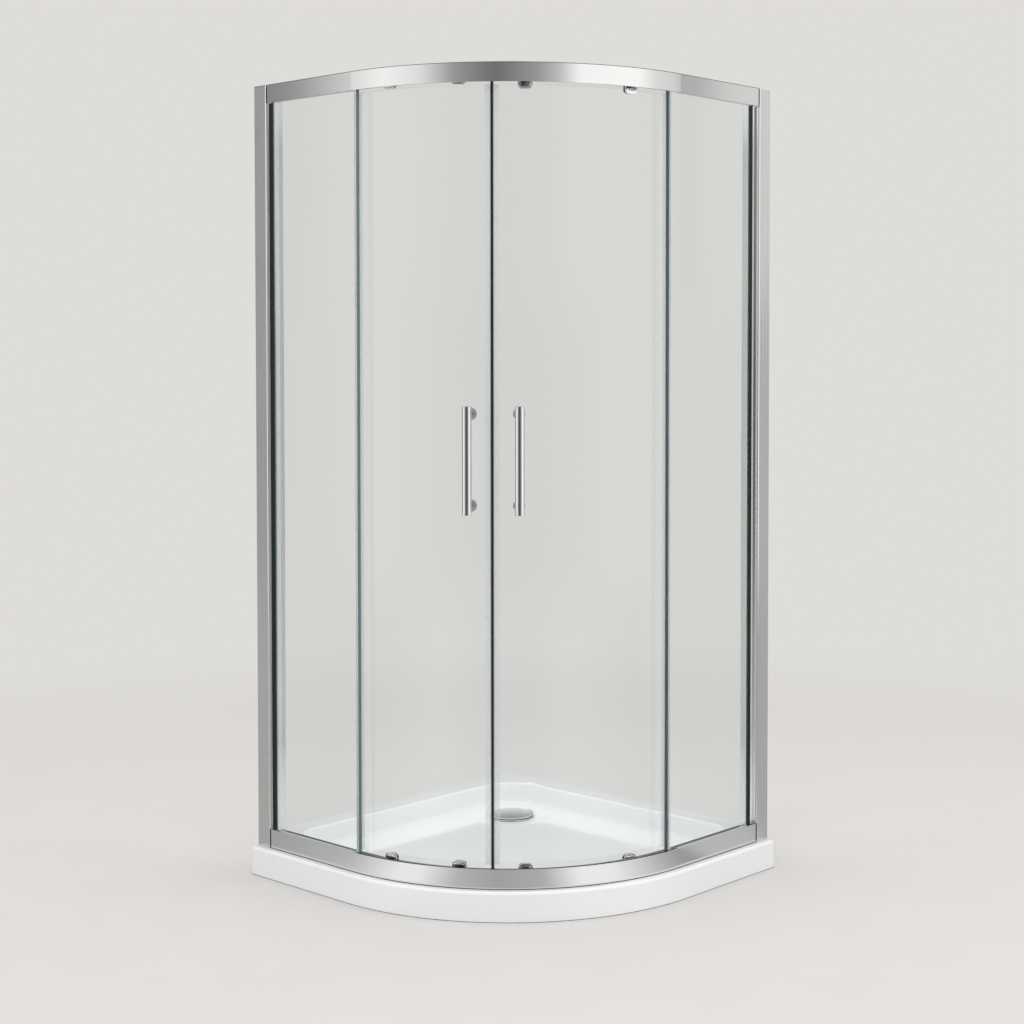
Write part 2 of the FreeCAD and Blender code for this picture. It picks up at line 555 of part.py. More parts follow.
def build_jambs():
    outer = FRAME_SETBACK + JAMB_WALL + CHANNEL_FIT
    inner = FRAME_INNER - JAMB_WALL - CHANNEL_FIT
    channel = jamb_plan([
        (0, outer, 0),
        (CHANNEL_DEPTH, outer, 0),
        (CHANNEL_DEPTH, outer + CHANNEL_WALL, 0),
        (CHANNEL_WALL, outer + CHANNEL_WALL, 0),
        (CHANNEL_WALL, inner - CHANNEL_WALL, 0),
        (CHANNEL_DEPTH, inner - CHANNEL_WALL, 0),
        (CHANNEL_DEPTH, inner, 0),
        (0, inner, 0),
    ], FRAME_BASE, FRAME_TOP - CAP_THICK - CAP_PLUG)
    middle_inset = (outer + inner) / 2
    for level in three_levels(CHANNEL_HOLE_FROM_END):
        hole = Part.makeCylinder(CHANNEL_HOLE_RADIUS, CHANNEL_WALL,
                                 FreeCAD.Vector(-HALF, middle_inset - HALF, level),
                                 FreeCAD.Vector(1, 0, 0))
        channel = channel.cut(hole)
    jamb_top = FRAME_TOP - CAP_THICK
    corners = [(JAMB_BACK_GAP, FRAME_SETBACK, 0)]
    pitch = JAMB_WIDTH / (JAMB_FLUTES + 1)
    for flute in range(JAMB_FLUTES):
        left = pitch * (flute + 1) - FLUTE_WIDTH / 2
        corners += [
            (left, FRAME_SETBACK, 0),
            (left, FRAME_SETBACK + FLUTE_DEPTH, 0),
            (left + FLUTE_WIDTH, FRAME_SETBACK + FLUTE_DEPTH, 0),
            (left + FLUTE_WIDTH, FRAME_SETBACK, 0),
        ]
    corners += [
        (JAMB_WIDTH, FRAME_SETBACK, RAIL_FACE_ROUND),
        (JAMB_WIDTH, FRAME_INNER, RAIL_FACE_ROUND),
        (JAMB_BACK_GAP, FRAME_INNER, 0),
        (JAMB_BACK_GAP, FRAME_INNER - JAMB_WALL, 0),
        (JAMB_WIDTH - JAMB_WALL, FRAME_INNER - JAMB_WALL, 0),
        (JAMB_WIDTH - JAMB_WALL, FRAME_SETBACK + JAMB_WALL, 0),
        (JAMB_BACK_GAP, FRAME_SETBACK + JAMB_WALL, 0),
    ]
    jamb = jamb_plan(corners, FRAME_BASE, jamb_top)
    pocket_outer = PANEL_OUTER - NOSE_SEAL
    pocket_inner = PANEL_INNER + NOSE_SEAL
    nose_low = BOTTOM_RAIL_EDGE + EDGE_SEAL_END_GAP
    nose_high = TOP_RAIL_EDGE - EDGE_SEAL_END_GAP
    nose_tip = JAMB_WIDTH + NOSE_LENGTH
    nose = jamb_plan([
        (JAMB_WIDTH - JAMB_WALL / 2, pocket_outer - NOSE_WALL, 0),
        (nose_tip, pocket_outer - NOSE_WALL, 0),
        (nose_tip, pocket_outer, 0),
        (JAMB_WIDTH, pocket_outer, 0),
        (JAMB_WIDTH, pocket_inner, 0),
        (nose_tip, pocket_inner, 0),
        (nose_tip, pocket_inner + NOSE_WALL, 0),
        (JAMB_WIDTH - JAMB_WALL / 2, pocket_inner + NOSE_WALL, 0),
    ], nose_low, nose_high)
    jamb = jamb.fuse(nose).removeSplitter()
    seal_low = nose_low
    seal_high = nose_high
    cover_end = GLASS_FROM_WALL + JAMB_SEAL_COVER
    seal = jamb_plan([
        (JAMB_WIDTH, pocket_outer, 0),
        (nose_tip, pocket_outer, 0),
        (nose_tip, PANEL_OUTER - JAMB_SEAL_WALL, 0),
        (cover_end, PANEL_OUTER - JAMB_SEAL_WALL, JAMB_SEAL_WALL / 2),
        (cover_end, PANEL_OUTER, 0),
        (GLASS_FROM_WALL, PANEL_OUTER, 0),
        (GLASS_FROM_WALL, PANEL_INNER, 0),
        (cover_end, PANEL_INNER, 0),
        (cover_end, PANEL_INNER + JAMB_SEAL_WALL, JAMB_SEAL_WALL / 2),
        (nose_tip, PANEL_INNER + JAMB_SEAL_WALL, 0),
        (nose_tip, pocket_inner, 0),
        (JAMB_WIDTH, pocket_inner, 0),
    ], seal_low, seal_high)
    cap = jamb_plan([
        (0, FRAME_SETBACK, RAIL_WALL),
        (JAMB_WIDTH, FRAME_SETBACK, RAIL_FACE_ROUND),
        (JAMB_WIDTH, FRAME_INNER, RAIL_FACE_ROUND),
        (0, FRAME_INNER, RAIL_WALL),
    ], jamb_top, FRAME_TOP)
    plug = jamb_plan([
        (JAMB_BACK_GAP, FRAME_SETBACK + JAMB_WALL + CAP_FIT, 0),
        (JAMB_WIDTH - JAMB_WALL - CAP_FIT, FRAME_SETBACK + JAMB_WALL + CAP_FIT, 0),
        (JAMB_WIDTH - JAMB_WALL - CAP_FIT, FRAME_INNER - JAMB_WALL - CAP_FIT, 0),
        (JAMB_BACK_GAP, FRAME_INNER - JAMB_WALL - CAP_FIT, 0),
    ], jamb_top - CAP_PLUG, jamb_top)
    cap = cap.fuse(plug).removeSplitter()
    screws = []
    screw_line = (JAMB_BACK_GAP + CHANNEL_DEPTH) / 2 - HALF
    for level in three_levels(JAMB_SCREW_FROM_END):
        seat = FreeCAD.Vector(screw_line, FRAME_INNER - HALF, level)
        inward = FreeCAD.Vector(0, -1, 0)
        head = Part.makeCylinder(JAMB_SCREW_HEAD, JAMB_SCREW_HEAD_THICK, seat, FreeCAD.Vector(0, 1, 0))
        head = head.makeFillet(JAMB_SCREW_HEAD_THICK / 2, edges_where(
            head, lambda p, e: p.y > seat.y + JAMB_SCREW_HEAD_THICK - TINY))
        shank = Part.makeCylinder(JAMB_SCREW_RADIUS, JAMB_SCREW_LENGTH, seat, inward)
        hole = Part.makeCylinder(JAMB_SCREW_RADIUS + PIN_FIT, JAMB_SCREW_LENGTH, seat, inward)
        jamb = jamb.cut(hole)
        channel = channel.cut(hole)
        screws.append(head.fuse(shank).removeSplitter())
    for level in connector_levels():
        jamb = jamb.cut(along_leg(CONNECTOR_SCREW_RADIUS + PIN_FIT, JAMB_WIDTH - JAMB_WALL, JAMB_WIDTH,
                                  level))
    both("wall_channel", channel)
    both("jamb", jamb)
    both("jamb_seal", seal)
    both("jamb_cap", cap)
    save("jamb_screws", screws + [mirrored(screw) for screw in screws])


def build_connectors():
    blocks = []
    screws = []
    for level in connector_levels():
        outer = connector_inset() - CONNECTOR_WIDTH / 2
        corner = FreeCAD.Vector(JAMB_WIDTH - HALF, outer - HALF, level - CONNECTOR_HEIGHT / 2)
        piece = Part.makeBox(CONNECTOR_LENGTH, CONNECTOR_WIDTH, CONNECTOR_HEIGHT, corner)
        piece = piece.cut(along_leg(CONNECTOR_SCREW_RADIUS + PIN_FIT, JAMB_WIDTH,
                                    JAMB_WIDTH + CONNECTOR_SCREW_GRIP, level))
        blocks.append(piece)
        seat = JAMB_WIDTH - JAMB_WALL
        screw = along_leg(CONNECTOR_SCREW_HEAD, seat - CONNECTOR_SCREW_HEAD_THICK, seat, level)
        screws.append(screw.fuse(along_leg(CONNECTOR_SCREW_RADIUS, seat,
                                           JAMB_WIDTH + CONNECTOR_SCREW_GRIP, level)).removeSplitter())
    save("top_connectors", [blocks[0], mirrored(blocks[0])])
    save("bottom_connectors", [blocks[1], mirrored(blocks[1])])
    save("connector_screws", screws + [mirrored(screw) for screw in screws])


# ---- fixed panels -------------------------------------------------------------------
def build_panels():
    start = GLASS_FROM_WALL - HALF
    lip_outer = FRAME_SETBACK + RAIL_WALL
    low_gasket = straight([
        (lip_outer, FRAME_BASE + RAIL_WEB, 0),
        (LIP_OUTER, FRAME_BASE + RAIL_WEB, 0),
        (LIP_OUTER, BOTTOM_RAIL_EDGE - LIP_RECESS + GASKET_PROUD, 0),
        (PANEL_INNER, BOTTOM_RAIL_EDGE - LIP_RECESS + GASKET_PROUD, 0),
        (PANEL_INNER, PANEL_LOW, 0),
        (PANEL_OUTER, PANEL_LOW, 0),
        (PANEL_OUTER, BOTTOM_RAIL_EDGE + GASKET_PROUD, 0),
        (lip_outer, BOTTOM_RAIL_EDGE + GASKET_PROUD, 0),
    ], start + JAMB_SEAL_COVER, ARC.x)
    high_gasket = straight([
        (lip_outer, FRAME_TOP - RAIL_WEB, 0),
        (LIP_OUTER, FRAME_TOP - RAIL_WEB, 0),
        (LIP_OUTER, TOP_RAIL_EDGE + LIP_RECESS - GASKET_PROUD, 0),
        (PANEL_INNER, TOP_RAIL_EDGE + LIP_RECESS - GASKET_PROUD, 0),
        (PANEL_INNER, PANEL_HIGH, 0),
        (PANEL_OUTER, PANEL_HIGH, 0),
        (PANEL_OUTER, TOP_RAIL_EDGE - GASKET_PROUD, 0),
        (lip_outer, TOP_RAIL_EDGE - GASKET_PROUD, 0),
    ], start + JAMB_SEAL_COVER, ARC.x)
    save("lower_glazing_gaskets", [low_gasket, mirrored(low_gasket)])
    save("upper_glazing_gaskets", [high_gasket, mirrored(high_gasket)])
    for side, beyond in (("left", LEFT_PANEL_BEYOND), ("right", RIGHT_PANEL_BEYOND)):
        edge = ARC.x + beyond
        glass = Part.makeBox(edge - start, GLASS_THICK, PANEL_HIGH - PANEL_LOW,
                             FreeCAD.Vector(start, PANEL_OUTER - HALF, PANEL_LOW))
        wall = EDGE_SEAL_WALL
        fin = [
            (edge + wall, PANEL_INNER - HALF, 0),
            (edge + EDGE_SEAL_FIN_REACH, PANEL_INNER + EDGE_SEAL_FIN_DROP - HALF, wall / 2),
            (edge + EDGE_SEAL_FIN_REACH - wall, PANEL_INNER + EDGE_SEAL_FIN_DROP + wall - HALF, 0),
            (edge, PANEL_INNER + wall - HALF, 0),
        ]
        seal = plan_at([
            (edge - EDGE_SEAL_COVER, PANEL_OUTER - wall - HALF, 0),
            (edge + wall, PANEL_OUTER - wall - HALF, wall / 2),
        ] + fin + [
            (edge - EDGE_SEAL_COVER, PANEL_INNER + wall - HALF, 0),
            (edge - EDGE_SEAL_COVER, PANEL_INNER - HALF, 0),
            (edge, PANEL_INNER - HALF, 0),
            (edge, PANEL_OUTER - HALF, 0),
            (edge - EDGE_SEAL_COVER, PANEL_OUTER - HALF, 0),
        ], BOTTOM_RAIL_EDGE + GASKET_PROUD).extrude(FreeCAD.Vector(
            0, 0, TOP_RAIL_EDGE - BOTTOM_RAIL_EDGE - 2 * GASKET_PROUD))
        if side == "right":
            glass = mirrored(glass)
            seal = mirrored(seal)
        save("fixed_glass_" + side, [glass])
        save("edge_seal_" + side, [seal])


# ---- doors --------------------------------------------------------------------------
def roller_set(angle, high, far):
    """Clamp plate, hanger, axle, screw and wheel of one roller, at this angle from the leg.

    The plate reaches from the glass's edge to the height called far."""
    up = 1 if high else -1
    glass_edge = DOOR_HIGH if high else DOOR_LOW
    hole = glass_edge - up * CLAMP_HOLE_EDGE
    axle = AXLE_HIGH if high else AXLE_LOW
    half = CLAMP_WIDTH / 2
    outer = DOOR_OUTER - CLAMP_THICK
    clamp = plate([
        (-half, glass_edge, 0),
        (-half, far, CLAMP_CORNER),
        (half, far, CLAMP_CORNER),
        (half, glass_edge, 0),
    ], outer, DOOR_OUTER)
    clamp = clamp.makeFillet(CLAMP_EDGE_ROUND, edges_where(
        clamp, lambda p, e: p.y < outer - HALF + TINY and abs(p.z - glass_edge) > TINY))
    clamp = clamp.fuse(bolt(CLAMP_HOLE_RADIUS - CLAMP_BOSS_FIT, DOOR_OUTER, DOOR_INNER, hole))
    clamp = clamp.cut(bolt(CLAMP_SCREW_RADIUS + PIN_FIT, DOOR_OUTER - CLAMP_THICK / 2, DOOR_INNER, hole))
    half = HANGER_WIDTH / 2
    neck = HANGER_NECK / 2
    face = DOOR_INNER + HANGER_THICK
    end = far + up * HANGER_SHORT
    hanger = plate([
        (-half, glass_edge, 0),
        (-half, end, CLAMP_CORNER),
        (half, end, CLAMP_CORNER),
        (half, glass_edge, 0),
        (neck, glass_edge, 0),
        (neck, axle + up * neck, HANGER_CORNER),
        (-neck, axle + up * neck, HANGER_CORNER),
        (-neck, glass_edge, 0),
    ], DOOR_INNER, face)
    hanger = hanger.cut(bolt(CLAMP_SCREW_RADIUS + PIN_FIT, DOOR_INNER, face, hole))
    hanger = hanger.cut(bolt(AXLE_RADIUS + PIN_FIT, DOOR_INNER, face, axle))
    pin = bolt(AXLE_RADIUS, DOOR_INNER, WHEEL_INNER + WHEEL_END_PLAY + AXLE_HEAD_THICK, axle)
    pin = pin.fuse(bolt(AXLE_COLLAR, face, WHEEL_OUTER - WHEEL_END_PLAY, axle))
    pin = pin.fuse(bolt(AXLE_COLLAR, WHEEL_INNER + WHEEL_END_PLAY,
                        WHEEL_INNER + WHEEL_END_PLAY + AXLE_HEAD_THICK, axle)).removeSplitter()
    screw = bolt(CLAMP_SCREW_HEAD, face, face + CLAMP_SCREW_HEAD_THICK, hole)
    screw = screw.makeFillet(CLAMP_SCREW_HEAD_THICK / 3, edges_where(
        screw, lambda p, e: p.y > face + CLAMP_SCREW_HEAD_THICK - HALF - TINY))
    screw = screw.fuse(bolt(CLAMP_SCREW_RADIUS, DOOR_OUTER - CLAMP_THICK / 2, face, hole))
    wheel = bolt(WHEEL_RADIUS, WHEEL_OUTER, WHEEL_INNER, axle)
    wheel = wheel.makeFillet(WHEEL_ROUND, wheel.Edges[0:1] + wheel.Edges[2:3])
    wheel = wheel.cut(bolt(AXLE_RADIUS + PIN_FIT, WHEEL_OUTER, WHEEL_INNER, axle))
    pieces = [clamp, hanger, pin, screw.removeSplitter(), wheel,
              bolt(CLAMP_HOLE_RADIUS, outer, face, hole)]
    return [turned(piece, angle) for piece in pieces]


def build_door(side, lead, tail, rollers, drop, rise, handle_inset):
    """One sliding door, drawn on the left; the right one is mirrored.

    Its clamp plates show this drop below the top rail and this rise above the bottom one."""
    def keep(name, solids):
        shapes = [mirrored(solid) for solid in solids] if side == "right" else solids
        save(name + "_" + side, shapes)

    radius = DOOR_RADIUS
    face = lead - angle_of(MEET_GAP / 2, radius)
    magnet_end = face - angle_of(MAGNET_WIDTH, radius)
    glass_end = magnet_end - angle_of(SEAL_WALL, radius)
    glass = sector(DOOR_OUTER, DOOR_INNER, DOOR_LOW, DOOR_HIGH, tail, glass_end)
    middle = (DOOR_OUTER + DOOR_INNER) / 2
    seal_low = BOTTOM_RAIL_EDGE + DOOR_SEAL_END_GAP
    seal_high = TOP_RAIL_EDGE - DOOR_SEAL_END_GAP
    magnet = sector(middle - MAGNET_DEPTH / 2, middle + MAGNET_DEPTH / 2, seal_low, seal_high,
                    magnet_end, face)
    cover = glass_end - angle_of(SEAL_COVER, radius)
    carrier = sector(DOOR_OUTER - SEAL_WALL, DOOR_INNER + SEAL_WALL, seal_low, seal_high, cover,
                     magnet_end)
    carrier = carrier.cut(sector(DOOR_OUTER - SEAL_FIT, DOOR_INNER + SEAL_FIT, seal_low, seal_high, cover,
                                 glass_end))
    rear_web = tail - angle_of(SEAL_WALL, radius)
    rear_cover = tail + angle_of(SEAL_COVER, radius)
    rear = sector(DOOR_OUTER - SEAL_WALL, DOOR_INNER + SEAL_WALL, seal_low, seal_high, rear_web,
                  rear_cover)
    rear = rear.cut(sector(DOOR_OUTER - SEAL_FIT, DOOR_INNER + SEAL_FIT, seal_low, seal_high, tail,
                           rear_cover))
    rear = rear.fuse(sector(DOOR_OUTER - SEAL_WALL - REAR_FIN_REACH, DOOR_OUTER - SEAL_FIT, seal_low,
                            seal_high, rear_web, rear_web + angle_of(SEAL_WALL, radius))).removeSplitter()
    rear = rear.fuse(sector(DOOR_OUTER - SEAL_WALL - REAR_FIN_REACH,
                            DOOR_OUTER - REAR_FIN_REACH, seal_low, seal_high,
                            rear_web, rear_web + angle_of(REAR_FIN_WIDTH, radius))).removeSplitter()

    clamps = []
    hangers = []
    pins = []
    screws = []
    for level, far in ((True, TOP_RAIL_EDGE - drop), (False, BOTTOM_RAIL_EDGE + rise)):
        for place, angle in (("lead", rollers[0]), ("tail", rollers[1])):
            clamp, hanger, pin, screw, wheel, hole = roller_set(angle, level, far)
            clamps.append(clamp)
            hangers.append(hanger)
            pins.append(pin)
            screws.append(screw)
            glass = glass.cut(hole)
            keep(("top" if level else "bottom") + "_" + place + "_wheel", [wheel])
    clamps = [clamp.cut(glass) for clamp in clamps]
    hangers = [hanger.cut(glass) for hanger in hangers]

    grip = lead - angle_of(handle_inset, radius)
    bar_inset = DOOR_OUTER - HANDLE_REACH
    bar_centre = FreeCAD.Vector(ARC.x, bar_inset - HALF, 0)
    bar = post(HANDLE_RADIUS, HANDLE_HEIGHT - HANDLE_LENGTH / 2, HANDLE_HEIGHT + HANDLE_LENGTH / 2,
               bar_centre)
    bar = bar.makeChamfer(HANDLE_CHAMFER, edges_where(
        bar, lambda p, e: abs(abs(p.z - HANDLE_HEIGHT) - HANDLE_LENGTH / 2) < TINY))
    socket_end = bar_inset + HANDLE_RADIUS - POST_SOCKET
    posts = []
    roses = []
    caps = []
    for step in (-1, 1):
        level = HANDLE_HEIGHT + step * HANDLE_PITCH / 2
        bar = bar.cut(bolt(POST_RADIUS + PIN_FIT, socket_end, bar_inset + HANDLE_RADIUS, level))
        stem = bolt(POST_RADIUS, socket_end, DOOR_OUTER - ROSE_THICK, level)
        screw_tip = DOOR_OUTER - HANDLE_SCREW_GRIP
        stem = stem.cut(bolt(HANDLE_SCREW_RADIUS + PIN_FIT, screw_tip, DOOR_OUTER, level))
        posts.append(stem)
        rose = bolt(ROSE_RADIUS, DOOR_OUTER - ROSE_THICK, DOOR_OUTER, level)
        rose = rose.makeFillet(ROSE_ROUND, edges_where(
            rose, lambda p, e: p.y < DOOR_OUTER - ROSE_THICK - HALF + TINY))
        roses.append(rose.cut(bolt(HANDLE_SCREW_RADIUS + PIN_FIT, DOOR_OUTER - ROSE_THICK, DOOR_OUTER,
                                   level)))
        cap = bolt(HANDLE_CAP_RADIUS, DOOR_INNER, DOOR_INNER + HANDLE_CAP_THICK, level)
        cap = cap.makeFillet(HANDLE_CAP_THICK / 2, edges_where(
            cap, lambda p, e: p.y > DOOR_INNER + HANDLE_CAP_THICK - HALF - TINY))
        caps.append(cap.fuse(bolt(HANDLE_SCREW_RADIUS, screw_tip, DOOR_INNER, level)).removeSplitter())
        glass = glass.cut(turned(bolt(HANDLE_HOLE_RADIUS, DOOR_OUTER - ROSE_THICK,
                                      DOOR_INNER + HANDLE_CAP_THICK, level), grip))
    keep("door_glass", [glass])
    keep("magnet_strip", [magnet])
    keep("magnet_carrier", [carrier])
    keep("rear_seal", [rear])
    keep("glass_clamps", clamps)
    keep("roller_hangers", hangers)
    keep("roller_axles", pins)
    keep("clamp_screws", screws)
    keep("handle_bar", [turned(bar, grip)])
    keep("handle_posts", [turned(piece, grip) for piece in posts])
    keep("handle_roses", [turned(piece, grip).cut(glass) for piece in roses])
    keep("handle_caps", [turned(piece, grip).cut(glass) for piece in caps])


def open_place(rollers, travel):
    """Where the tail wheel stands along the left leg when its door is fully open."""
    radius = TRAY_RADIUS - WHEEL_CENTRE
    lead = math.radians(rollers[0] - angle_of(travel, DOOR_RADIUS))
    chord = 2 * radius * math.sin(math.radians(rollers[0] - rollers[1]) / 2)
    drop = radius * (1 - math.cos(lead))
    return radius * math.sin(lead) - math.sqrt(chord * chord - drop * drop)


def build_buffers(left, right):
    """Rubber stops in the tracks, just past the wheels of the open doors."""
    pieces = []
    for rollers, travel, side in (left, right):
        end = open_place(rollers, travel) - WHEEL_RADIUS - BUFFER_GAP
        inner = FRAME_INNER - RAIL_WALL
        high = block(end - BUFFER_LENGTH, end, WHEEL_OUTER, inner, TRACK_HIGH, FRAME_TOP - RAIL_WEB)
        low = block(end - BUFFER_LENGTH, end, WHEEL_OUTER, inner, FRAME_BASE + RAIL_WEB, TRACK_LOW)
        for piece in (high, low):
            pieces.append(mirrored(piece) if side == "right" else piece)
    save("track_buffers", pieces)


def door_lines(lead, beyond, lead_inset, tail_inset):
    """Tail edge of a door's glass and the angles of its two rollers."""
    tail = angle_of(beyond - DOOR_OVERLAP, DOOR_RADIUS)
    return tail, (lead - angle_of(lead_inset, DOOR_RADIUS),
                  tail + angle_of(tail_inset, DOOR_RADIUS))


save("shower_tray", [build_tray()])
build_waste()
build_rails()
build_jambs()
build_connectors()
build_panels()
left_lead = QUARTER / 2 - angle_of(MEET_SHIFT, DOOR_RADIUS)
right_lead = QUARTER / 2 + angle_of(MEET_SHIFT, DOOR_RADIUS)
left_tail, left_rollers = door_lines(left_lead, LEFT_PANEL_BEYOND, LEFT_LEAD_ROLLER_INSET,
                                     LEFT_TAIL_ROLLER_INSET)
right_tail, right_rollers = door_lines(right_lead, RIGHT_PANEL_BEYOND, RIGHT_LEAD_ROLLER_INSET,
                                       RIGHT_TAIL_ROLLER_INSET)
build_door("left", left_lead, left_tail, left_rollers, LEFT_CLAMP_DROP, LEFT_CLAMP_RISE,
           LEFT_HANDLE_INSET)
build_door("right", right_lead, right_tail, right_rollers, RIGHT_CLAMP_DROP, RIGHT_CLAMP_RISE,
           RIGHT_HANDLE_INSET)
build_buffers((left_rollers, LEFT_TRAVEL, "left"), (right_rollers, RIGHT_TRAVEL, "right"))
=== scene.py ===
import math

import bmesh
import bpy
from mathutils import Matrix, Vector


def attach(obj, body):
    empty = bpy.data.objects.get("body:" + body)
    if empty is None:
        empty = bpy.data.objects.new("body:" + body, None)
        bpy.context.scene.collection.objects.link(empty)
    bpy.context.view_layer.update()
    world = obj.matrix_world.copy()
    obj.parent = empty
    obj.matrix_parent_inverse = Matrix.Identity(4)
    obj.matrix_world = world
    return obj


# Quadrant shower enclosure on a low tray. Metres, +Z up. The walls stand at x = -0.45 and
# y = +0.45, and the curved front faces +X and -Y. "Left" is the half by the wall at -X.
# Small pieces are drawn on the left leg, by their distance from the wall and their inset
# from the tray's front edge, and are then turned round the front's centre to their place.

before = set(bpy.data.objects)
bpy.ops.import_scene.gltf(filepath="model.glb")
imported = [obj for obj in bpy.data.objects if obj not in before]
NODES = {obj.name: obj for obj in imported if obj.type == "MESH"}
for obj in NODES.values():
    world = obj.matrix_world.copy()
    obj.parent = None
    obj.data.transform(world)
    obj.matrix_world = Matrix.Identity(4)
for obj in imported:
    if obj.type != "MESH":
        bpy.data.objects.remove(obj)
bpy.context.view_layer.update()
SIDES = ("left", "right")

# ---- places on the CAD model ---------------------------------------------------------
# Tray: half its side, the straight legs of its front, the centre of the front's arc, how far
# the basin, painted paler as painted light, reaches from that centre, and the waste's middle.
HALF = 0.45
LEG = 0.35
ARC = Vector((LEG - HALF, HALF - LEG, 0.0))
BASIN_REACH = 0.475
WASTE = Vector((-0.247, 0.247, 0.0))

# Frame: its face's inset, the jambs' width, the bottom rail's upper edge and the top rail's
# lower one, and where the dark lip of each jamb's seal starts and ends.
FRAME_FACE = 0.020
JAMB_WIDTH = 0.046
BOTTOM_EDGE, TOP_EDGE = 0.1136, 1.8526
JAMB_SEAL_LIPS = {"left": (0.0542, 0.0656), "right": (0.0694, 0.0804)}

# Fixed panes, by distance from the wall and by height.
PANEL_START = 0.068
PANEL_END = {"left": 0.363, "right": 0.386}
PANEL_LOW, PANEL_HIGH = 0.0746, 1.8896

# Doors. LEAD_SEAL is from the meeting line to the glass, and ROLLER_INSETS are from the
# meeting line to the lead roller and from the glass's tail to the tail roller.
DOOR_RADIUS = 0.503
DOOR_LOW, DOOR_HIGH = 0.1026, 1.8675
DOOR_OVERLAP = 0.020
MEET_SHIFT = {"left": -0.05775, "right": 0.05775}
LEAD_SEAL = 0.0039
SEAL_WALL = 0.0012
MAGNET_WIDTH = 0.0025
ROLLER_INSETS = {"left": (0.0765, 0.098), "right": (0.074, 0.1125)}

# Angles run round ARC from the straight leg's end, and FRONT_MIDDLE is the front's middle.
DEGREES_PER_METRE = math.degrees(1 / DOOR_RADIUS)
FRONT_MIDDLE = 45


def edge_angles(side):
    """Tail and lead angle of a door's glass, in degrees from the straight leg's end."""
    tail = (PANEL_END[side] - LEG - DOOR_OVERLAP) * DEGREES_PER_METRE
    return tail, FRONT_MIDDLE + (MEET_SHIFT[side] - LEAD_SEAL) * DEGREES_PER_METRE


def roller_angles(side):
    """Angles of a door's lead and tail rollers."""
    tail, lead = edge_angles(side)
    from_meeting, from_tail = ROLLER_INSETS[side]
    return (lead + (LEAD_SEAL - from_meeting) * DEGREES_PER_METRE,
            tail + from_tail * DEGREES_PER_METRE)


# ---- shader maths --------------------------------------------------------------------
class Reading:
    """One socket's value. Ordinary operators on it add Math nodes."""

    def __init__(self, finish, socket):
        self.finish = finish
        self.socket = socket

    def maths(self, operation, *values):
        return self.finish.add("ShaderNodeMath", {"operation": operation}, dict(enumerate(values)))

    def __add__(self, other):
        return self.maths("ADD", self, other)

    def __radd__(self, other):
        return self.maths("ADD", other, self)

    def __sub__(self, other):
        return self.maths("SUBTRACT", self, other)

    def __rsub__(self, other):
        return self.maths("SUBTRACT", other, self)

    def __mul__(self, other):
        return self.maths("MULTIPLY", self, other)

    def __truediv__(self, other):
        return self.maths("DIVIDE", self, other)

    def __gt__(self, other):
        return self.maths("GREATER_THAN", self, other)

    def __lt__(self, other):
        return self.maths("LESS_THAN", self, other)

    def either(self, other):
        return self.maths("MAXIMUM", self, other)

    def angle_from(self, other):
        return self.maths("ARCTAN2", self, other)

    def soft_between(self, low, high):
        """0 below low, 1 above high, smooth in between."""
        return self.finish.add("ShaderNodeMapRange", {"interpolation_type": "SMOOTHSTEP"},
                               {0: self, 1: low, 2: high, 3: 0.0, 4: 1.0})


